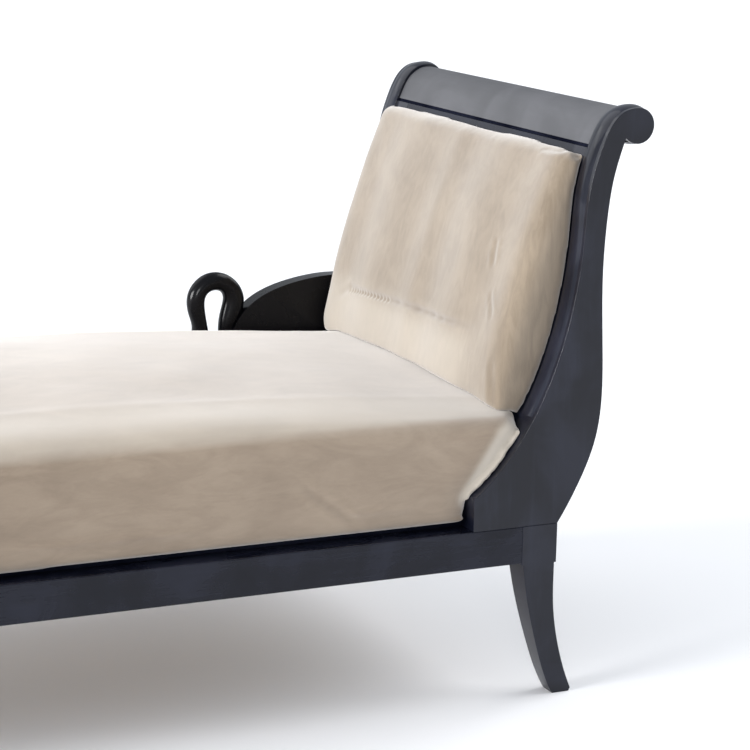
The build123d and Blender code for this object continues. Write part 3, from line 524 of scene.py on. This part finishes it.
def welded(name, node_name):
    """A copy of a CAD node's mesh with its corners joined and its flat faces whole."""
    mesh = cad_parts[node_name].data.copy()
    mesh.name = name
    extra = mesh.attributes.get("custom_normal")
    if extra:
        mesh.attributes.remove(extra)
    with edited(mesh) as shape:
        bmesh.ops.remove_doubles(shape, verts=shape.verts, dist=WELD)
        bmesh.ops.dissolve_limit(shape, angle_limit=FLAT, verts=shape.verts, edges=shape.edges)
    return mesh


def made_plain(piece):
    """Turn a piece with modifiers into a plain mesh."""
    bpy.context.view_layer.update()
    seen = piece.evaluated_get(bpy.context.evaluated_depsgraph_get())
    mesh = bpy.data.meshes.new_from_object(seen)
    piece.modifiers.clear()
    piece.data = mesh
    return piece


def eased(name, node_name, width):
    """A lacquered piece with its arrises softened, in place of its sharp CAD node."""
    piece = new_piece(name, welded(name, node_name))
    ease = piece.modifiers.new("ease", "BEVEL")
    ease.width, ease.segments = width, 3
    ease.limit_method, ease.angle_limit = "ANGLE", ARRIS
    ease.use_clamp_overlap = True
    made_plain(piece)
    piece.data.shade_smooth()
    even = piece.modifiers.new("even", "WEIGHTED_NORMAL")
    even.keep_sharp = False
    made_plain(piece)
    return piece


def in_frame(piece, slot_name, *nodes):
    """Let a piece ride on the frame and stand for CAD nodes, which it hides. The slot name is not
    used.
    """
    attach(piece, "root")
    if nodes:
        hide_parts(*nodes)


def surface(meshes, test=lambda face: True):
    """Those faces of some meshes that a test picks, to measure distances from."""
    corners, faces = [], []
    for mesh in meshes:
        start = len(corners)
        corners += [vertex.co.copy() for vertex in mesh.vertices]
        faces += [[start + index for index in face.vertices] for face in mesh.polygons if test(face)]
    return BVHTree.FromPolygons(corners, faces)


def solid_tree(names):
    """The surfaces of some CAD nodes and pieces."""
    return surface([(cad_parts.get(name) or bpy.data.objects[name]).data for name in names])


def keep_clear(mesh, names, depth=0.012, tilt=0.05):
    """Move what touches its neighbours back out of them, clear of their faces."""
    tree = solid_tree(names)
    for vertex in mesh.vertices:
        spot, normal, _, distance = tree.find_nearest(vertex.co, depth)
        if spot is not None:
            side = (vertex.co - spot).dot(normal)
            if side < -tilt * distance or distance < CLEARANCE:
                vertex.co = spot + normal * CLEARANCE


def lifted(mesh, test, height):
    """Lift the underside of a cover, where a test picks it, clear of what it rests on."""
    for vertex in mesh.vertices:
        if vertex.co.z < height and test(vertex.co):
            vertex.co.z = height


def pushed(mesh, amount):
    """Move each place of a cover along its facing, by an amount for that place."""
    for vertex, normal in [(v, v.normal.copy()) for v in mesh.vertices]:
        vertex.co += normal * amount(vertex.co)


def remeshed(piece, voxel):
    """Give a piece an even mesh of small squares."""
    net = piece.modifiers.new("net", "REMESH")
    net.mode, net.voxel_size, net.use_smooth_shade = "VOXEL", voxel, True
    return made_plain(piece)


def chosen(piece, name, test):
    """A group of the corners of a cover that a test picks."""
    group = piece.vertex_groups.new(name=name)
    group.add([v.index for v in piece.data.vertices if test(v.co)], 1.0, "REPLACE")


def smoothed(piece, rounds, test):
    """Even out a cover's mesh at the places that a test picks."""
    chosen(piece, "evened", test)
    soft = piece.modifiers.new("soft", "SMOOTH")
    soft.factor, soft.iterations, soft.vertex_group = 0.5, rounds, "evened"
    made_plain(piece)
    piece.vertex_groups.clear()


def stuffed(piece, held):
    """Blow a cover up as its filling does, with its held corners fixed and its movement capped."""
    settings = bpy.context.scene.recamier_cushions
    start = [vertex.co.copy() for vertex in piece.data.vertices]
    chosen(piece, "pins", held)
    cloth = piece.modifiers.new("stuffing", "CLOTH")
    cloth.settings.quality = 4
    cloth.settings.mass = 0.3
    cloth.settings.use_pressure = True
    cloth.settings.uniform_pressure_force = settings.pressure
    cloth.settings.vertex_group_mass = "pins"
    cloth.settings.effector_weights.gravity = 0.0
    cloth.collision_settings.use_collision = False
    cloth.point_cache.frame_start, cloth.point_cache.frame_end = 1, settings.steps
    for step in range(1, settings.steps + 1):
        bpy.context.scene.frame_set(step)
    made_plain(piece)
    bpy.context.scene.frame_set(1)
    for vertex, before in zip(piece.data.vertices, start):
        moved = vertex.co - before
        if moved.length > settings.swell:
            vertex.co = before + moved * (settings.swell / moved.length)
    piece.vertex_groups.clear()


def resting_faces(node_name, facing, reach, likeness=0.55):
    """A test for the places of a cover near its CAD cushion's resting faces, which face one way."""
    way = Vector(facing).normalized()
    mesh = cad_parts[node_name].data
    tree = surface([mesh], lambda face: face.normal.dot(way) > likeness)
    return lambda spot: tree.find_nearest(spot, reach)[0] is not None


def extent(spots):
    """Lowest and highest corner of some places."""
    return [Vector([pick(spot[axis] for spot in spots) for axis in range(3)]) for pick in (min, max)]


def filled_out(mesh, node_name, spare):
    """Bring a cover back to the size of the CAD cushion, with some fabric to spare on each side."""
    low, high = extent([vertex.co for vertex in mesh.vertices])
    wanted_low, wanted_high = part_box(node_name)
    for axis in range(3):
        first, last = wanted_low[axis] - spare[axis], wanted_high[axis] + spare[axis]
        scale = (last - first) / (high[axis] - low[axis])
        for vertex in mesh.vertices:
            vertex.co[axis] = first + (vertex.co[axis] - low[axis]) * scale


def shaped_like(mesh, node_name, part, reach=0.03):
    """Bring a cover part of the way back to the surface of its CAD cushion."""
    tree = solid_tree([node_name])
    for vertex in mesh.vertices:
        spot = tree.find_nearest(vertex.co, reach)[0]
        if spot is not None:
            vertex.co = vertex.co.lerp(spot, part)


def filled_cushion(name, node_name, mesh_size, held, spare, rounds):
    """A cushion's cover: stuffed, evened, filled out to its size and rounded off."""
    settings = bpy.context.scene.recamier_cushions
    piece = remeshed(new_piece(name, welded(name, node_name)), mesh_size)
    pushed(piece.data, lambda spot: 0.0 if held(spot) else -settings.slack)
    stuffed(piece, held)
    smoothed(piece, rounds, lambda spot: not held(spot))
    smoothed(piece, ALL_ROUNDS, lambda spot: True)
    shaped_like(piece.data, node_name, settings.shape_kept)
    filled_out(piece.data, node_name, spare)
    finer = piece.modifiers.new("finer", "SUBSURF")
    finer.levels = finer.render_levels = 1
    return made_plain(piece)


def ramp(value, start, end):
    """A straight step from 0 at the start up to 1 at the end."""
    return min(1.0, max(0.0, (value - start) / (end - start)))


def slope(value, start, end):
    """The same step with soft ends."""
    part = ramp(value, start, end)
    return part * part * (3 - 2 * part)


def crown_line(mesh, step):
    """The highest place of a cover in each slice along its length."""
    heights = {}
    for vertex in mesh.vertices:
        index = round(vertex.co.x / step)
        heights[index] = max(heights.get(index, -1.0), vertex.co.z)
    return heights


def full_shoulders(mesh, low, high, settings, step=0.02):
    """Fill the seat out along its long edges, most where its crown is high."""
    crown = crown_line(mesh, step)
    for vertex in mesh.vertices:
        spot = vertex.co
        part = max(0.0, min(spot.y - low.y, high.y - spot.y)) / settings.shoulder_inset
        rise = ramp(spot.z, *SHOULDER_HEIGHTS)
        if rise > 0 and part > 0:
            place = spot.x / step
            before = math.floor(place)
            first, second = crown.get(before, SEAT_EDGE), crown.get(before + 1, SEAT_EDGE)
            full = ramp(first + (second - first) * (place - before), SEAT_EDGE, high.z)
            ahead = 1.0 - SHOULDER_LOST * ramp(spot.x, *SHOULDER_FADE)
            bulge = (part * math.exp(1 - part)) ** SHOULDER_FOCUS
            spot.z += settings.shoulder_fill * full * ahead * rise * bulge


def drawn_out(mesh, place, reach, way):
    """Draw a corner of a cover out."""
    middle, way = Vector(place), Vector(way)
    for vertex in mesh.vertices:
        part = (vertex.co - middle).length / reach
        if part < 1:
            vertex.co += way * (1 - part * part) ** 2


def turned_back(mesh, names, reach, depth, test):
    """Round a cover's front back over a reach beside its neighbours, as a boxed end does."""
    tree = solid_tree(names)
    for vertex in mesh.vertices:
        if test(vertex.co):
            _, _, _, distance = tree.find_nearest(vertex.co, reach)
            if distance is not None:
                vertex.co.y += math.copysign(depth * (1 - distance / reach) ** 2, -vertex.co.y)


def waved(mesh, reach, held):
    """Raise and sink a cover in slow uneven waves, as hand-laid stuffing does."""
    pushed(mesh, lambda spot: 0.0 if held(spot) else WAVE_HEIGHT * noise.noise(spot / reach))


def nearest_on(path, spot):
    """How far a place is from a line through points, and where along it, from 0 to 1."""
    best, where = None, 0.0
    for index, (first, last) in enumerate(zip(path, path[1:])):
        run = last - first
        share_along = max(0.0, min(1.0, (spot - first).dot(run) / run.length_squared))
        gap = (spot - first - run * share_along).length
        if best is None or gap < best:
            best, where = gap, (index + share_along) / (len(path) - 1)
    return best, where


def laid_on(mesh, points, step=0.008):
    """A line through points, laid on a cover's surface."""
    tree = surface([mesh])
    corners, path = [Vector(point) for point in points], []
    for first, last in zip(corners, corners[1:]):
        count = max(1, round((last - first).length / step))
        path += [tree.find_nearest(first.lerp(last, index / count))[0] for index in range(count)]
    return path + [tree.find_nearest(corners[-1])[0]]


def refined(mesh, paths, reach):
    """Split a cover's mesh once more near some lines."""
    with edited(mesh) as shape:
        near = {
            vertex
            for vertex in shape.verts
            if any(nearest_on(path, vertex.co)[0] < reach for path in paths)
        }
        edges = [edge for edge in shape.edges if near.issuperset(edge.verts)]
        bmesh.ops.subdivide_edges(shape, edges=edges, cuts=1, use_grid_fill=True)


def marked(mesh, name, values):
    """Note a number for each place of a cover, which its velvet's tone follows."""
    mesh.attributes.new(name, "FLOAT", "POINT").data.foreach_set("value", values)


def creased(mesh, creases):
    """Press creases into a cover, fading towards their ends, and note the painted shade of each
    place.
    """
    paths = [laid_on(mesh, crease.points) for crease in creases]
    refined(mesh, paths, CREASE_REACH)
    shade = [0.0] * len(mesh.vertices)
    moves = [Vector() for _ in mesh.vertices]
    steady, uneven = CREASE_DRIFT
    for path, crease in zip(paths, creases):
        width = crease.width
        for index, vertex in enumerate(mesh.vertices):
            gap, where = nearest_on(path, vertex.co)
            if gap < 4 * width:
                fade = min(1.0, where / CREASE_FADE, (1 - where) / CREASE_FADE)
                fade *= steady + uneven * noise.noise(vertex.co * DRIFT_SCALE)
                pressed = math.exp(-((gap / width) ** 2))
                raised = math.exp(-(((gap - 2 * width) / width) ** 2))
                moves[index] += vertex.normal * fade * (crease.lip * raised - crease.depth * pressed)
                # Painted shade: the crease's depth is noted to be darkened in the velvet's tone
                shade[index] = max(shade[index], min(1.0, crease.dark * fade * pressed))
    for vertex, move in zip(mesh.vertices, moves):
        vertex.co += move
    marked(mesh, "crease", shade)


def puckered(mesh, spots):
    """Small stitch-like dimples beside a crease."""
    places = laid_on(mesh, spots)

    def dimple(spot):
        gap = min((spot - place).length for place in places) / PUCKER_WIDTH
        return -PUCKER_DEPTH * math.exp(-(gap**2)) if gap < 3 else 0.0

    pushed(mesh, dimple)


def straps(node_name):
    """The lowest and highest corner of each loose strap or block in a CAD node."""
    shape = bmesh.new()
    shape.from_mesh(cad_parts[node_name].data)
    bmesh.ops.remove_doubles(shape, verts=shape.verts, dist=WELD)
    boxes, left = [], set(shape.verts)
    for first in shape.verts:
        found, waiting = [], [first]
        while waiting:
            corner = waiting.pop()
            if corner in left:
                left.remove(corner)
                found.append(corner.co.copy())
                waiting += [edge.other_vert(corner) for edge in corner.link_edges]
        if found:
            boxes.append(extent(found))
    shape.free()
    return boxes


def landed(tree, start, direction):
    """Where a straight line from a place first meets a surface, with that surface's facing."""
    spot, normal, _, _ = tree.ray_cast(Vector(start), Vector(direction))
    return [] if spot is None else [(spot, normal)]


def strap_tacks(node_name, along, across, inward, settings):
    """Places of the tacks at both ends of each strap."""
    tree, places = solid_tree([node_name]), []
    for low, high in straps(node_name):
        for end in (low[along] + settings.tack_inset, high[along] - settings.tack_inset):
            for index in range(settings.tack_count):
                start = (low + high) / 2 - DRIVE * Vector(inward)
                start[along] = end
                part = (index + 0.5) / settings.tack_count
                start[across] = low[across] + (high[across] - low[across]) * part
                places += landed(tree, start, inward)
    return places


def ledger_screws(settings):
    """Places of the screws along both ledgers and in the corner blocks."""
    places = []
    for name, side in (("front_ledger", -1), ("rear_ledger", 1)):
        tree = solid_tree([name])
        low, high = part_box(name)
        count = int((high.x - low.x) // settings.screw_step)
        for index in range(count):
            x = low.x + (high.x - low.x) * (index + 0.5) / count
            places += landed(tree, (x, 0, (low.z + high.z) / 2), (0, side, 0))
    tree = solid_tree(["corner_blocks"])
    for low, high in straps("corner_blocks"):
        middle = (low + high) / 2
        way = Vector((math.copysign(1, middle.x), math.copysign(1, middle.y), 0)).normalized()
        for part in BLOCK_SCREWS:
            height = low.z + (high.z - low.z) * part
            start = Vector((middle.x, middle.y, height)) - DRIVE * way
            places += landed(tree, start, way)
    return places


def fastener_tree(name, *sizes):
    """An empty tree of geometry nodes that takes places, sizes and a finish."""
    inputs = {"Places": "Geometry", **dict.fromkeys(sizes, "Float"), "Finish": "Material"}
    return node_group(name, "Geometry", inputs, {"Heads": "Geometry"})


def set_heads(tree, source, sink, head, seed):
    """Put a head at each place, facing out and turned at random, and make them one mesh."""
    facing = wire(
        tree, "GeometryNodeInputNamedAttribute", {"Name": "facing"}, data_type="FLOAT_VECTOR"
    )
    inputs = {"Vector": facing.outputs["Attribute"]}
    aimed = wire(tree, "FunctionNodeAlignRotationToVector", inputs, axis="Z")
    inputs = {"Points": source["Places"], "Instance": head, "Rotation": aimed.outputs[0]}
    heads = wire(tree, "GeometryNodeInstanceOnPoints", inputs)
    turned = wire(tree, "FunctionNodeRandomValue", {2: 0.0, 3: math.pi, 8: seed}, data_type="FLOAT")
    spun = wire(tree, "ShaderNodeCombineXYZ", {"Z": turned.outputs[1]})
    inputs = {"Instances": heads.outputs[0], "Rotation": spun.outputs[0], "Local Space": True}
    loose = wire(tree, "GeometryNodeRotateInstances", inputs)
    whole = wire(tree, "GeometryNodeRealizeInstances", {"Geometry": loose.outputs[0]})
    inputs = {"Geometry": whole.outputs[0], "Material": source["Finish"]}
    tree.links.new(wire(tree, "GeometryNodeSetMaterial", inputs).outputs[0], sink["Heads"])
    return tree


def tack_tree():
    """Low domed heads of upholstery tacks."""
    tree, source, sink = fastener_tree("tack_heads", "Head Radius")
    crown = sums(tree, "MULTIPLY", source["Head Radius"], 0.45)
    inputs = {"Vertices": 12, "Radius Top": crown, "Radius Bottom": source["Head Radius"]}
    head = wire(tree, "GeometryNodeMeshCone", {**inputs, "Depth": 0.0008})
    return set_heads(tree, source, sink, head.outputs["Mesh"], 3)


def screw_tree():
    """Flat screw heads with a slot cut across."""
    tree, source, sink = fastener_tree("screw_heads", "Head Radius", "Slot Width")
    inputs = {"Vertices": 20, "Radius": source["Head Radius"], "Depth": 0.0024}
    disc = wire(tree, "GeometryNodeMeshCylinder", inputs)
    length = sums(tree, "MULTIPLY", source["Head Radius"], 3.0)
    inputs = {"X": length, "Y": source["Slot Width"], "Z": 0.0012}
    block = wire(tree, "ShaderNodeCombineXYZ", inputs)
    slot = wire(tree, "GeometryNodeMeshCube", {"Size": block.outputs[0]})
    inputs = {"Geometry": slot.outputs["Mesh"], "Translation": (0, 0, 0.0009)}
    raised = wire(tree, "GeometryNodeTransform", inputs)
    inputs = {"Mesh 1": disc.outputs["Mesh"], "Mesh 2": raised.outputs[0]}
    cut = wire(tree, "GeometryNodeMeshBoolean", inputs, operation="DIFFERENCE", solver="EXACT")
    return set_heads(tree, source, sink, cut.outputs["Mesh"], 7)


def fastened(name, tree, places, values):
    """A piece with one head of a tree at each place."""
    mesh = bpy.data.meshes.new(name)
    mesh.from_pydata([spot for spot, _ in places], [], [])
    facing = mesh.attributes.new("facing", "FLOAT_VECTOR", "POINT")
    facing.data.foreach_set("vector", [part for _, normal in places for part in normal])
    piece = new_piece(name, mesh)
    heads = piece.modifiers.new("heads", "NODES")
    heads.node_group = tree
    for socket in tree.interface.items_tree:
        if socket.name in values:
            heads[socket.identifier] = values[socket.name]
    made_plain(piece)
    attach(piece, "root")
    return piece


class RECAMIER_OT_stage(Operator):
    """Lay the pale floor, hang the lights and stand the camera where the photographer stood"""

    bl_idname = "recamier.stage"
    bl_label = "Stage"

    def execute(self, context):
        stage = context.scene.recamier_stage
        lay_floor(stage)
        light_room(context.scene, stage)
        hang_lights(stage)
        stand_camera(context.scene, stage)
        return {"FINISHED"}


def lay_floor(stage):
    """A wide pale floor."""
    mesh = bpy.data.meshes.new("floor")
    with edited(mesh) as shape:
        bmesh.ops.create_circle(shape, cap_ends=True, segments=96, radius=stage.floor_radius)
    floor = new_piece("floor", mesh)
    material, tree, shader, place = finish("floor_paper", {"Specular IOR Level": 0.25})
    tone = (*stage.floor_tone, 1)
    soft = spread(tree, grain(tree, place, 1.4, 2.0), 0.3, 0.7, top=0.03)
    rough = spread(tree, grain(tree, place, 3.0), bottom=0.55, top=0.7)
    painted(tree, shader, blend(tree, soft, tone, FLOOR_CLOUD), rough)
    put_on(floor, material)


def light_room(scene, stage):
    """Even light from all round."""
    room = bpy.data.worlds.new("room")
    room.use_nodes = True
    sky = room.node_tree.nodes["Background"]
    sky.inputs[0].default_value = (*stage.room_tone, 1)
    sky.inputs[1].default_value = stage.room_light
    scene.world = room
    scene.view_settings.view_transform = "Standard"


def soft_light(name, strength, bearing, height, width):
    """A wide light far away, with its bearing, height and width in degrees."""
    data = bpy.data.lights.new(name, "SUN")
    data.energy, data.angle = strength, math.radians(width)
    light = new_piece(name, data)
    turned, raised = math.radians(bearing), math.radians(height)
    away = math.cos(raised)
    way = Vector((away * math.cos(turned), away * math.sin(turned), math.sin(raised)))
    light.rotation_euler = way.to_track_quat("Z", "Y").to_euler()


def hang_lights(stage):
    """Five large soft lights: low ones from the left, and high ones from behind and the right."""
    for name, (bearing, height, width) in LIGHTS.items():
        soft_light(name, getattr(stage, name), bearing, height, width)


def stand_camera(scene, stage):
    """The camera, at the photograph's place and angle."""
    data = bpy.data.cameras.new("camera")
    data.lens, data.sensor_width = stage.camera_lens, 36.0
    data.clip_start, data.clip_end = 0.05, 200.0
    camera = new_piece("camera", data)
    yaw, pitch, roll = stage.camera_yaw, stage.camera_pitch, stage.camera_roll
    away = math.cos(pitch)
    ahead = Vector((math.sin(yaw) * away, math.cos(yaw) * away, -math.sin(pitch)))
    level = Vector((math.cos(yaw), -math.sin(yaw), 0))
    down = ahead.cross(level)
    right = math.cos(roll) * level + math.sin(roll) * down
    below = -math.sin(roll) * level + math.cos(roll) * down
    turned = Matrix((right, -below, -ahead)).transposed()
    camera.matrix_world = Matrix.Translation(stage.camera_place) @ turned.to_4x4()
    scene.camera = camera


class RECAMIER_OT_lacquered_frame(Operator):
    """Lacquer the rails, legs, stiles, crest rail, back board and swan arm"""

    bl_idname = "recamier.lacquered_frame"
    bl_label = "Lacquered frame"

    def execute(self, context):
        settings = context.scene.recamier_lacquer
        gloss = settings.gloss
        rub = {"x": (6.0, 60.0, 60.0), "y": (60.0, 6.0, 60.0), "z": (60.0, 60.0, 6.0)}
        along = lacquer("lacquer_rail", rub["x"], gloss, 0.26)
        upright = lacquer("lacquer_upright", rub["z"], gloss + 0.08, 0.12, coat=0.5)
        # Painted reflection: the crest's grey tones, a darker and a lighter one
        crest_reflection_tones = ([tone * 0.6 for tone in settings.crest_reflection_tone], settings.crest_reflection_tone)
        across = lacquer("lacquer_crest", rub["y"], gloss + 0.3, 0.4, crest_reflection_tones)
        swan_tones = (settings.swan_tone, settings.swan_tone)
        swan = lacquer("lacquer_swan", (30.0, 30.0, 30.0), gloss, 0.1, swan_tones, coat=0.15)
        # Painted shade: a dull black that reflects nothing, for the crest strip and the seat frame
        # in their shadowed gaps
        gap_shade_black = lacquer("lacquer_strip", rub["y"], 0.8, 0.0)
        finishes = {"crest_rail": across, "crest_strip": gap_shade_black, "swan_arm": swan, "swan_neck": swan}
        # The seat frame lies in the recess between the rails and the cushion; its dull black,
        # unreflecting finish is painted shade that keeps the recess black
        finishes.update({name: gap_shade_black for name in LACQUERED if name.startswith("seat_frame")})
        for name in LACQUERED:
            dress_node(name, finishes.get(name, along if name.endswith("rail") else upright))
        for name in EASED:
            piece = eased(f"{name}_eased", name, settings.easing)
            put_on(piece, finishes.get(name, upright))
            in_frame(piece, "black_lacquer", name)
        return {"FINISHED"}


class RECAMIER_OT_inner_frame(Operator):
    """Finish the plain wood and the webbing inside the frame"""

    bl_idname = "recamier.inner_frame"
    bl_label = "Inner frame"

    def execute(self, context):
        wood, band = beech("planed_beech"), jute("jute_bands")
        for name in PLAIN_WOOD:
            dress_node(name, wood)
        for name in WEBBING:
            dress_node(name, band)
        return {"FINISHED"}


class RECAMIER_OT_fasteners(Operator):
    """Tack the webbing down and drive the screws of the ledgers and corner blocks"""

    bl_idname = "recamier.fasteners"
    bl_label = "Tacks and screws"

    def execute(self, context):
        settings = context.scene.recamier_fasteners
        steel = blued_steel("blued_steel")
        tacks = strap_tacks("seat_cross_webbing", 1, 0, (0, 0, -1), settings)
        tacks += strap_tacks("seat_long_webbing", 0, 1, (0, 0, -1), settings)
        tacks += strap_tacks("back_webbing", 1, 2, (1, 0, 0), settings)
        values = {"Head Radius": settings.tack_radius, "Finish": steel}
        fastened("webbing_tacks", tack_tree(), tacks, values)
        values = {"Head Radius": settings.screw_radius, "Slot Width": settings.screw_slot}
        screws = ledger_screws(settings)
        fastened("frame_screws", screw_tree(), screws, {**values, "Finish": steel})
        return {"FINISHED"}


def upholstered(piece, part):
    """Cover a finished cushion in its velvet."""
    piece.data.shade_smooth()
    put_on(piece, velvet(part))


class RECAMIER_OT_seat_cushion(Operator):
    """Stuff the seat cushion and cover it in velvet"""

    bl_idname = "recamier.seat_cushion"
    bl_label = "Seat cushion"

    def execute(self, context):
        settings = context.scene.recamier_cushions
        low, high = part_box("seat_pad")
        under = resting_faces("seat_pad", (0, 0, -1), SEAT_REST)

        def held(spot):
            return spot.z < low.z + SEAT_FOOT or under(spot)

        def side(spot):
            return abs(spot.y) > SEAT_SIDE and not held(spot)

        net, spare = settings.seat_mesh, (0, 0, 0)
        piece = filled_cushion("seat_cushion", "seat_pad", net, held, spare, SEAT_ROUNDS)
        cover = piece.data
        full_shoulders(cover, low, high, settings)
        stiles = ["front_stile", "rear_stile"]
        turned_back(cover, stiles, settings.end_reach, settings.end_turn, side)
        x, y, z = SEAT_CORNER
        for corner in ((x, -y, z), (x, y, z)):
            drawn_out(cover, corner, CORNER_REACH, CORNER_PULL)
        waved(cover, SEAT_WAVE, held)
        creased(cover, SEAT_CREASES)
        end = [Vector(place) for place in SEAT_END]

        # Painted sheen on the shoulder above the long edges and along the end by the stile
        def standing(spot):
            inset = min(spot.y - low.y, high.y - spot.y)
            shoulder = slope(spot.z, *SHEEN_HEIGHTS) * slope(inset, *SHEEN_INSETS)
            tip = slope(nearest_on(end, spot)[0], *SHEEN_GAPS)
            return max(SHOULDER_PAINTED_SHEEN * shoulder, END_PAINTED_SHEEN * tip)

        marked(cover, "standing", [standing(vertex.co) for vertex in cover.vertices])
        keep_clear(cover, SEAT_NEIGHBOURS)
        web_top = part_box("seat_long_webbing")[1].z

        def over_web(spot):
            return under(spot) and spot.z > web_top - WEB_REACH

        lifted(cover, over_web, web_top + WEB_CLEARANCE)
        upholstered(piece, "seat")
        in_frame(piece, "velvet", "seat_pad")
        return {"FINISHED"}


class RECAMIER_OT_back_cushion(Operator):
    """Stuff the back cushion, with its crease and puckers, and cover it in velvet"""

    bl_idname = "recamier.back_cushion"
    bl_label = "Back cushion"

    def execute(self, context):
        settings = context.scene.recamier_cushions
        behind = resting_faces("back_pad", (1, 0, -0.2), BACK_REST)
        below = resting_faces("back_pad", (0, 0, -1), BACK_REST)

        def held(spot):
            return behind(spot) or below(spot)

        # Painted sheen on the lower part of the back, away from its near side
        def standing(spot):
            return BACK_PAINTED_SHEEN * slope(spot.z, *BACK_SHEEN_HEIGHTS) * slope(spot.y, *BACK_SHEEN_SIDES)

        net, spare = settings.back_mesh, (0, settings.back_spare, 0)
        piece = filled_cushion("back_cushion", "back_pad", net, held, spare, BACK_ROUNDS)
        cover = piece.data
        waved(cover, BACK_WAVE, held)
        creased(cover, BACK_CREASES)
        marked(cover, "standing", [standing(vertex.co) for vertex in cover.vertices])
        puckered(cover, PUCKERS)
        keep_clear(cover, BACK_NEIGHBOURS)
        upholstered(piece, "back")
        in_frame(piece, "velvet", "back_pad")
        return {"FINISHED"}


class RECAMIER_PT_panel(Panel):
    """Lists the steps that build the recamier, with their settings"""

    bl_idname = "RECAMIER_PT_panel"
    bl_label = "Recamier"
    bl_space_type = "VIEW_3D"
    bl_region_type = "UI"
    bl_category = "Recamier"

    def draw(self, context):
        for step in STEPS:
            self.layout.operator(step.bl_idname)
        for label in SETTINGS:
            box = self.layout.box()
            group = getattr(context.scene, label)
            for name in group.__annotations__:
                box.prop(group, name)


SETTINGS = {
    "recamier_stage": RecamierStage,
    "recamier_lacquer": RecamierLacquer,
    "recamier_velvet": RecamierVelvet,
    "recamier_cushions": RecamierCushions,
    "recamier_fasteners": RecamierFasteners,
}
STEPS = [
    RECAMIER_OT_stage,
    RECAMIER_OT_lacquered_frame,
    RECAMIER_OT_inner_frame,
    RECAMIER_OT_fasteners,
    RECAMIER_OT_seat_cushion,
    RECAMIER_OT_back_cushion,
]


def register():
    """Make the settings, the steps and the panel known."""
    for entry in [*SETTINGS.values(), *STEPS, RECAMIER_PT_panel]:
        bpy.utils.register_class(entry)
    for label, group in SETTINGS.items():
        setattr(bpy.types.Scene, label, PointerProperty(type=group))


def unregister():
    """Forget the settings, the steps and the panel."""
    for label in SETTINGS:
        delattr(bpy.types.Scene, label)
    for entry in reversed([*SETTINGS.values(), *STEPS, RECAMIER_PT_panel]):
        bpy.utils.unregister_class(entry)


def main():
    """Build the whole recamier, step by step."""
    register()
    for step in STEPS:
        group, name = step.bl_idname.split(".")
        getattr(getattr(bpy.ops, group), name)()


if __name__ == "__main__":
    main()
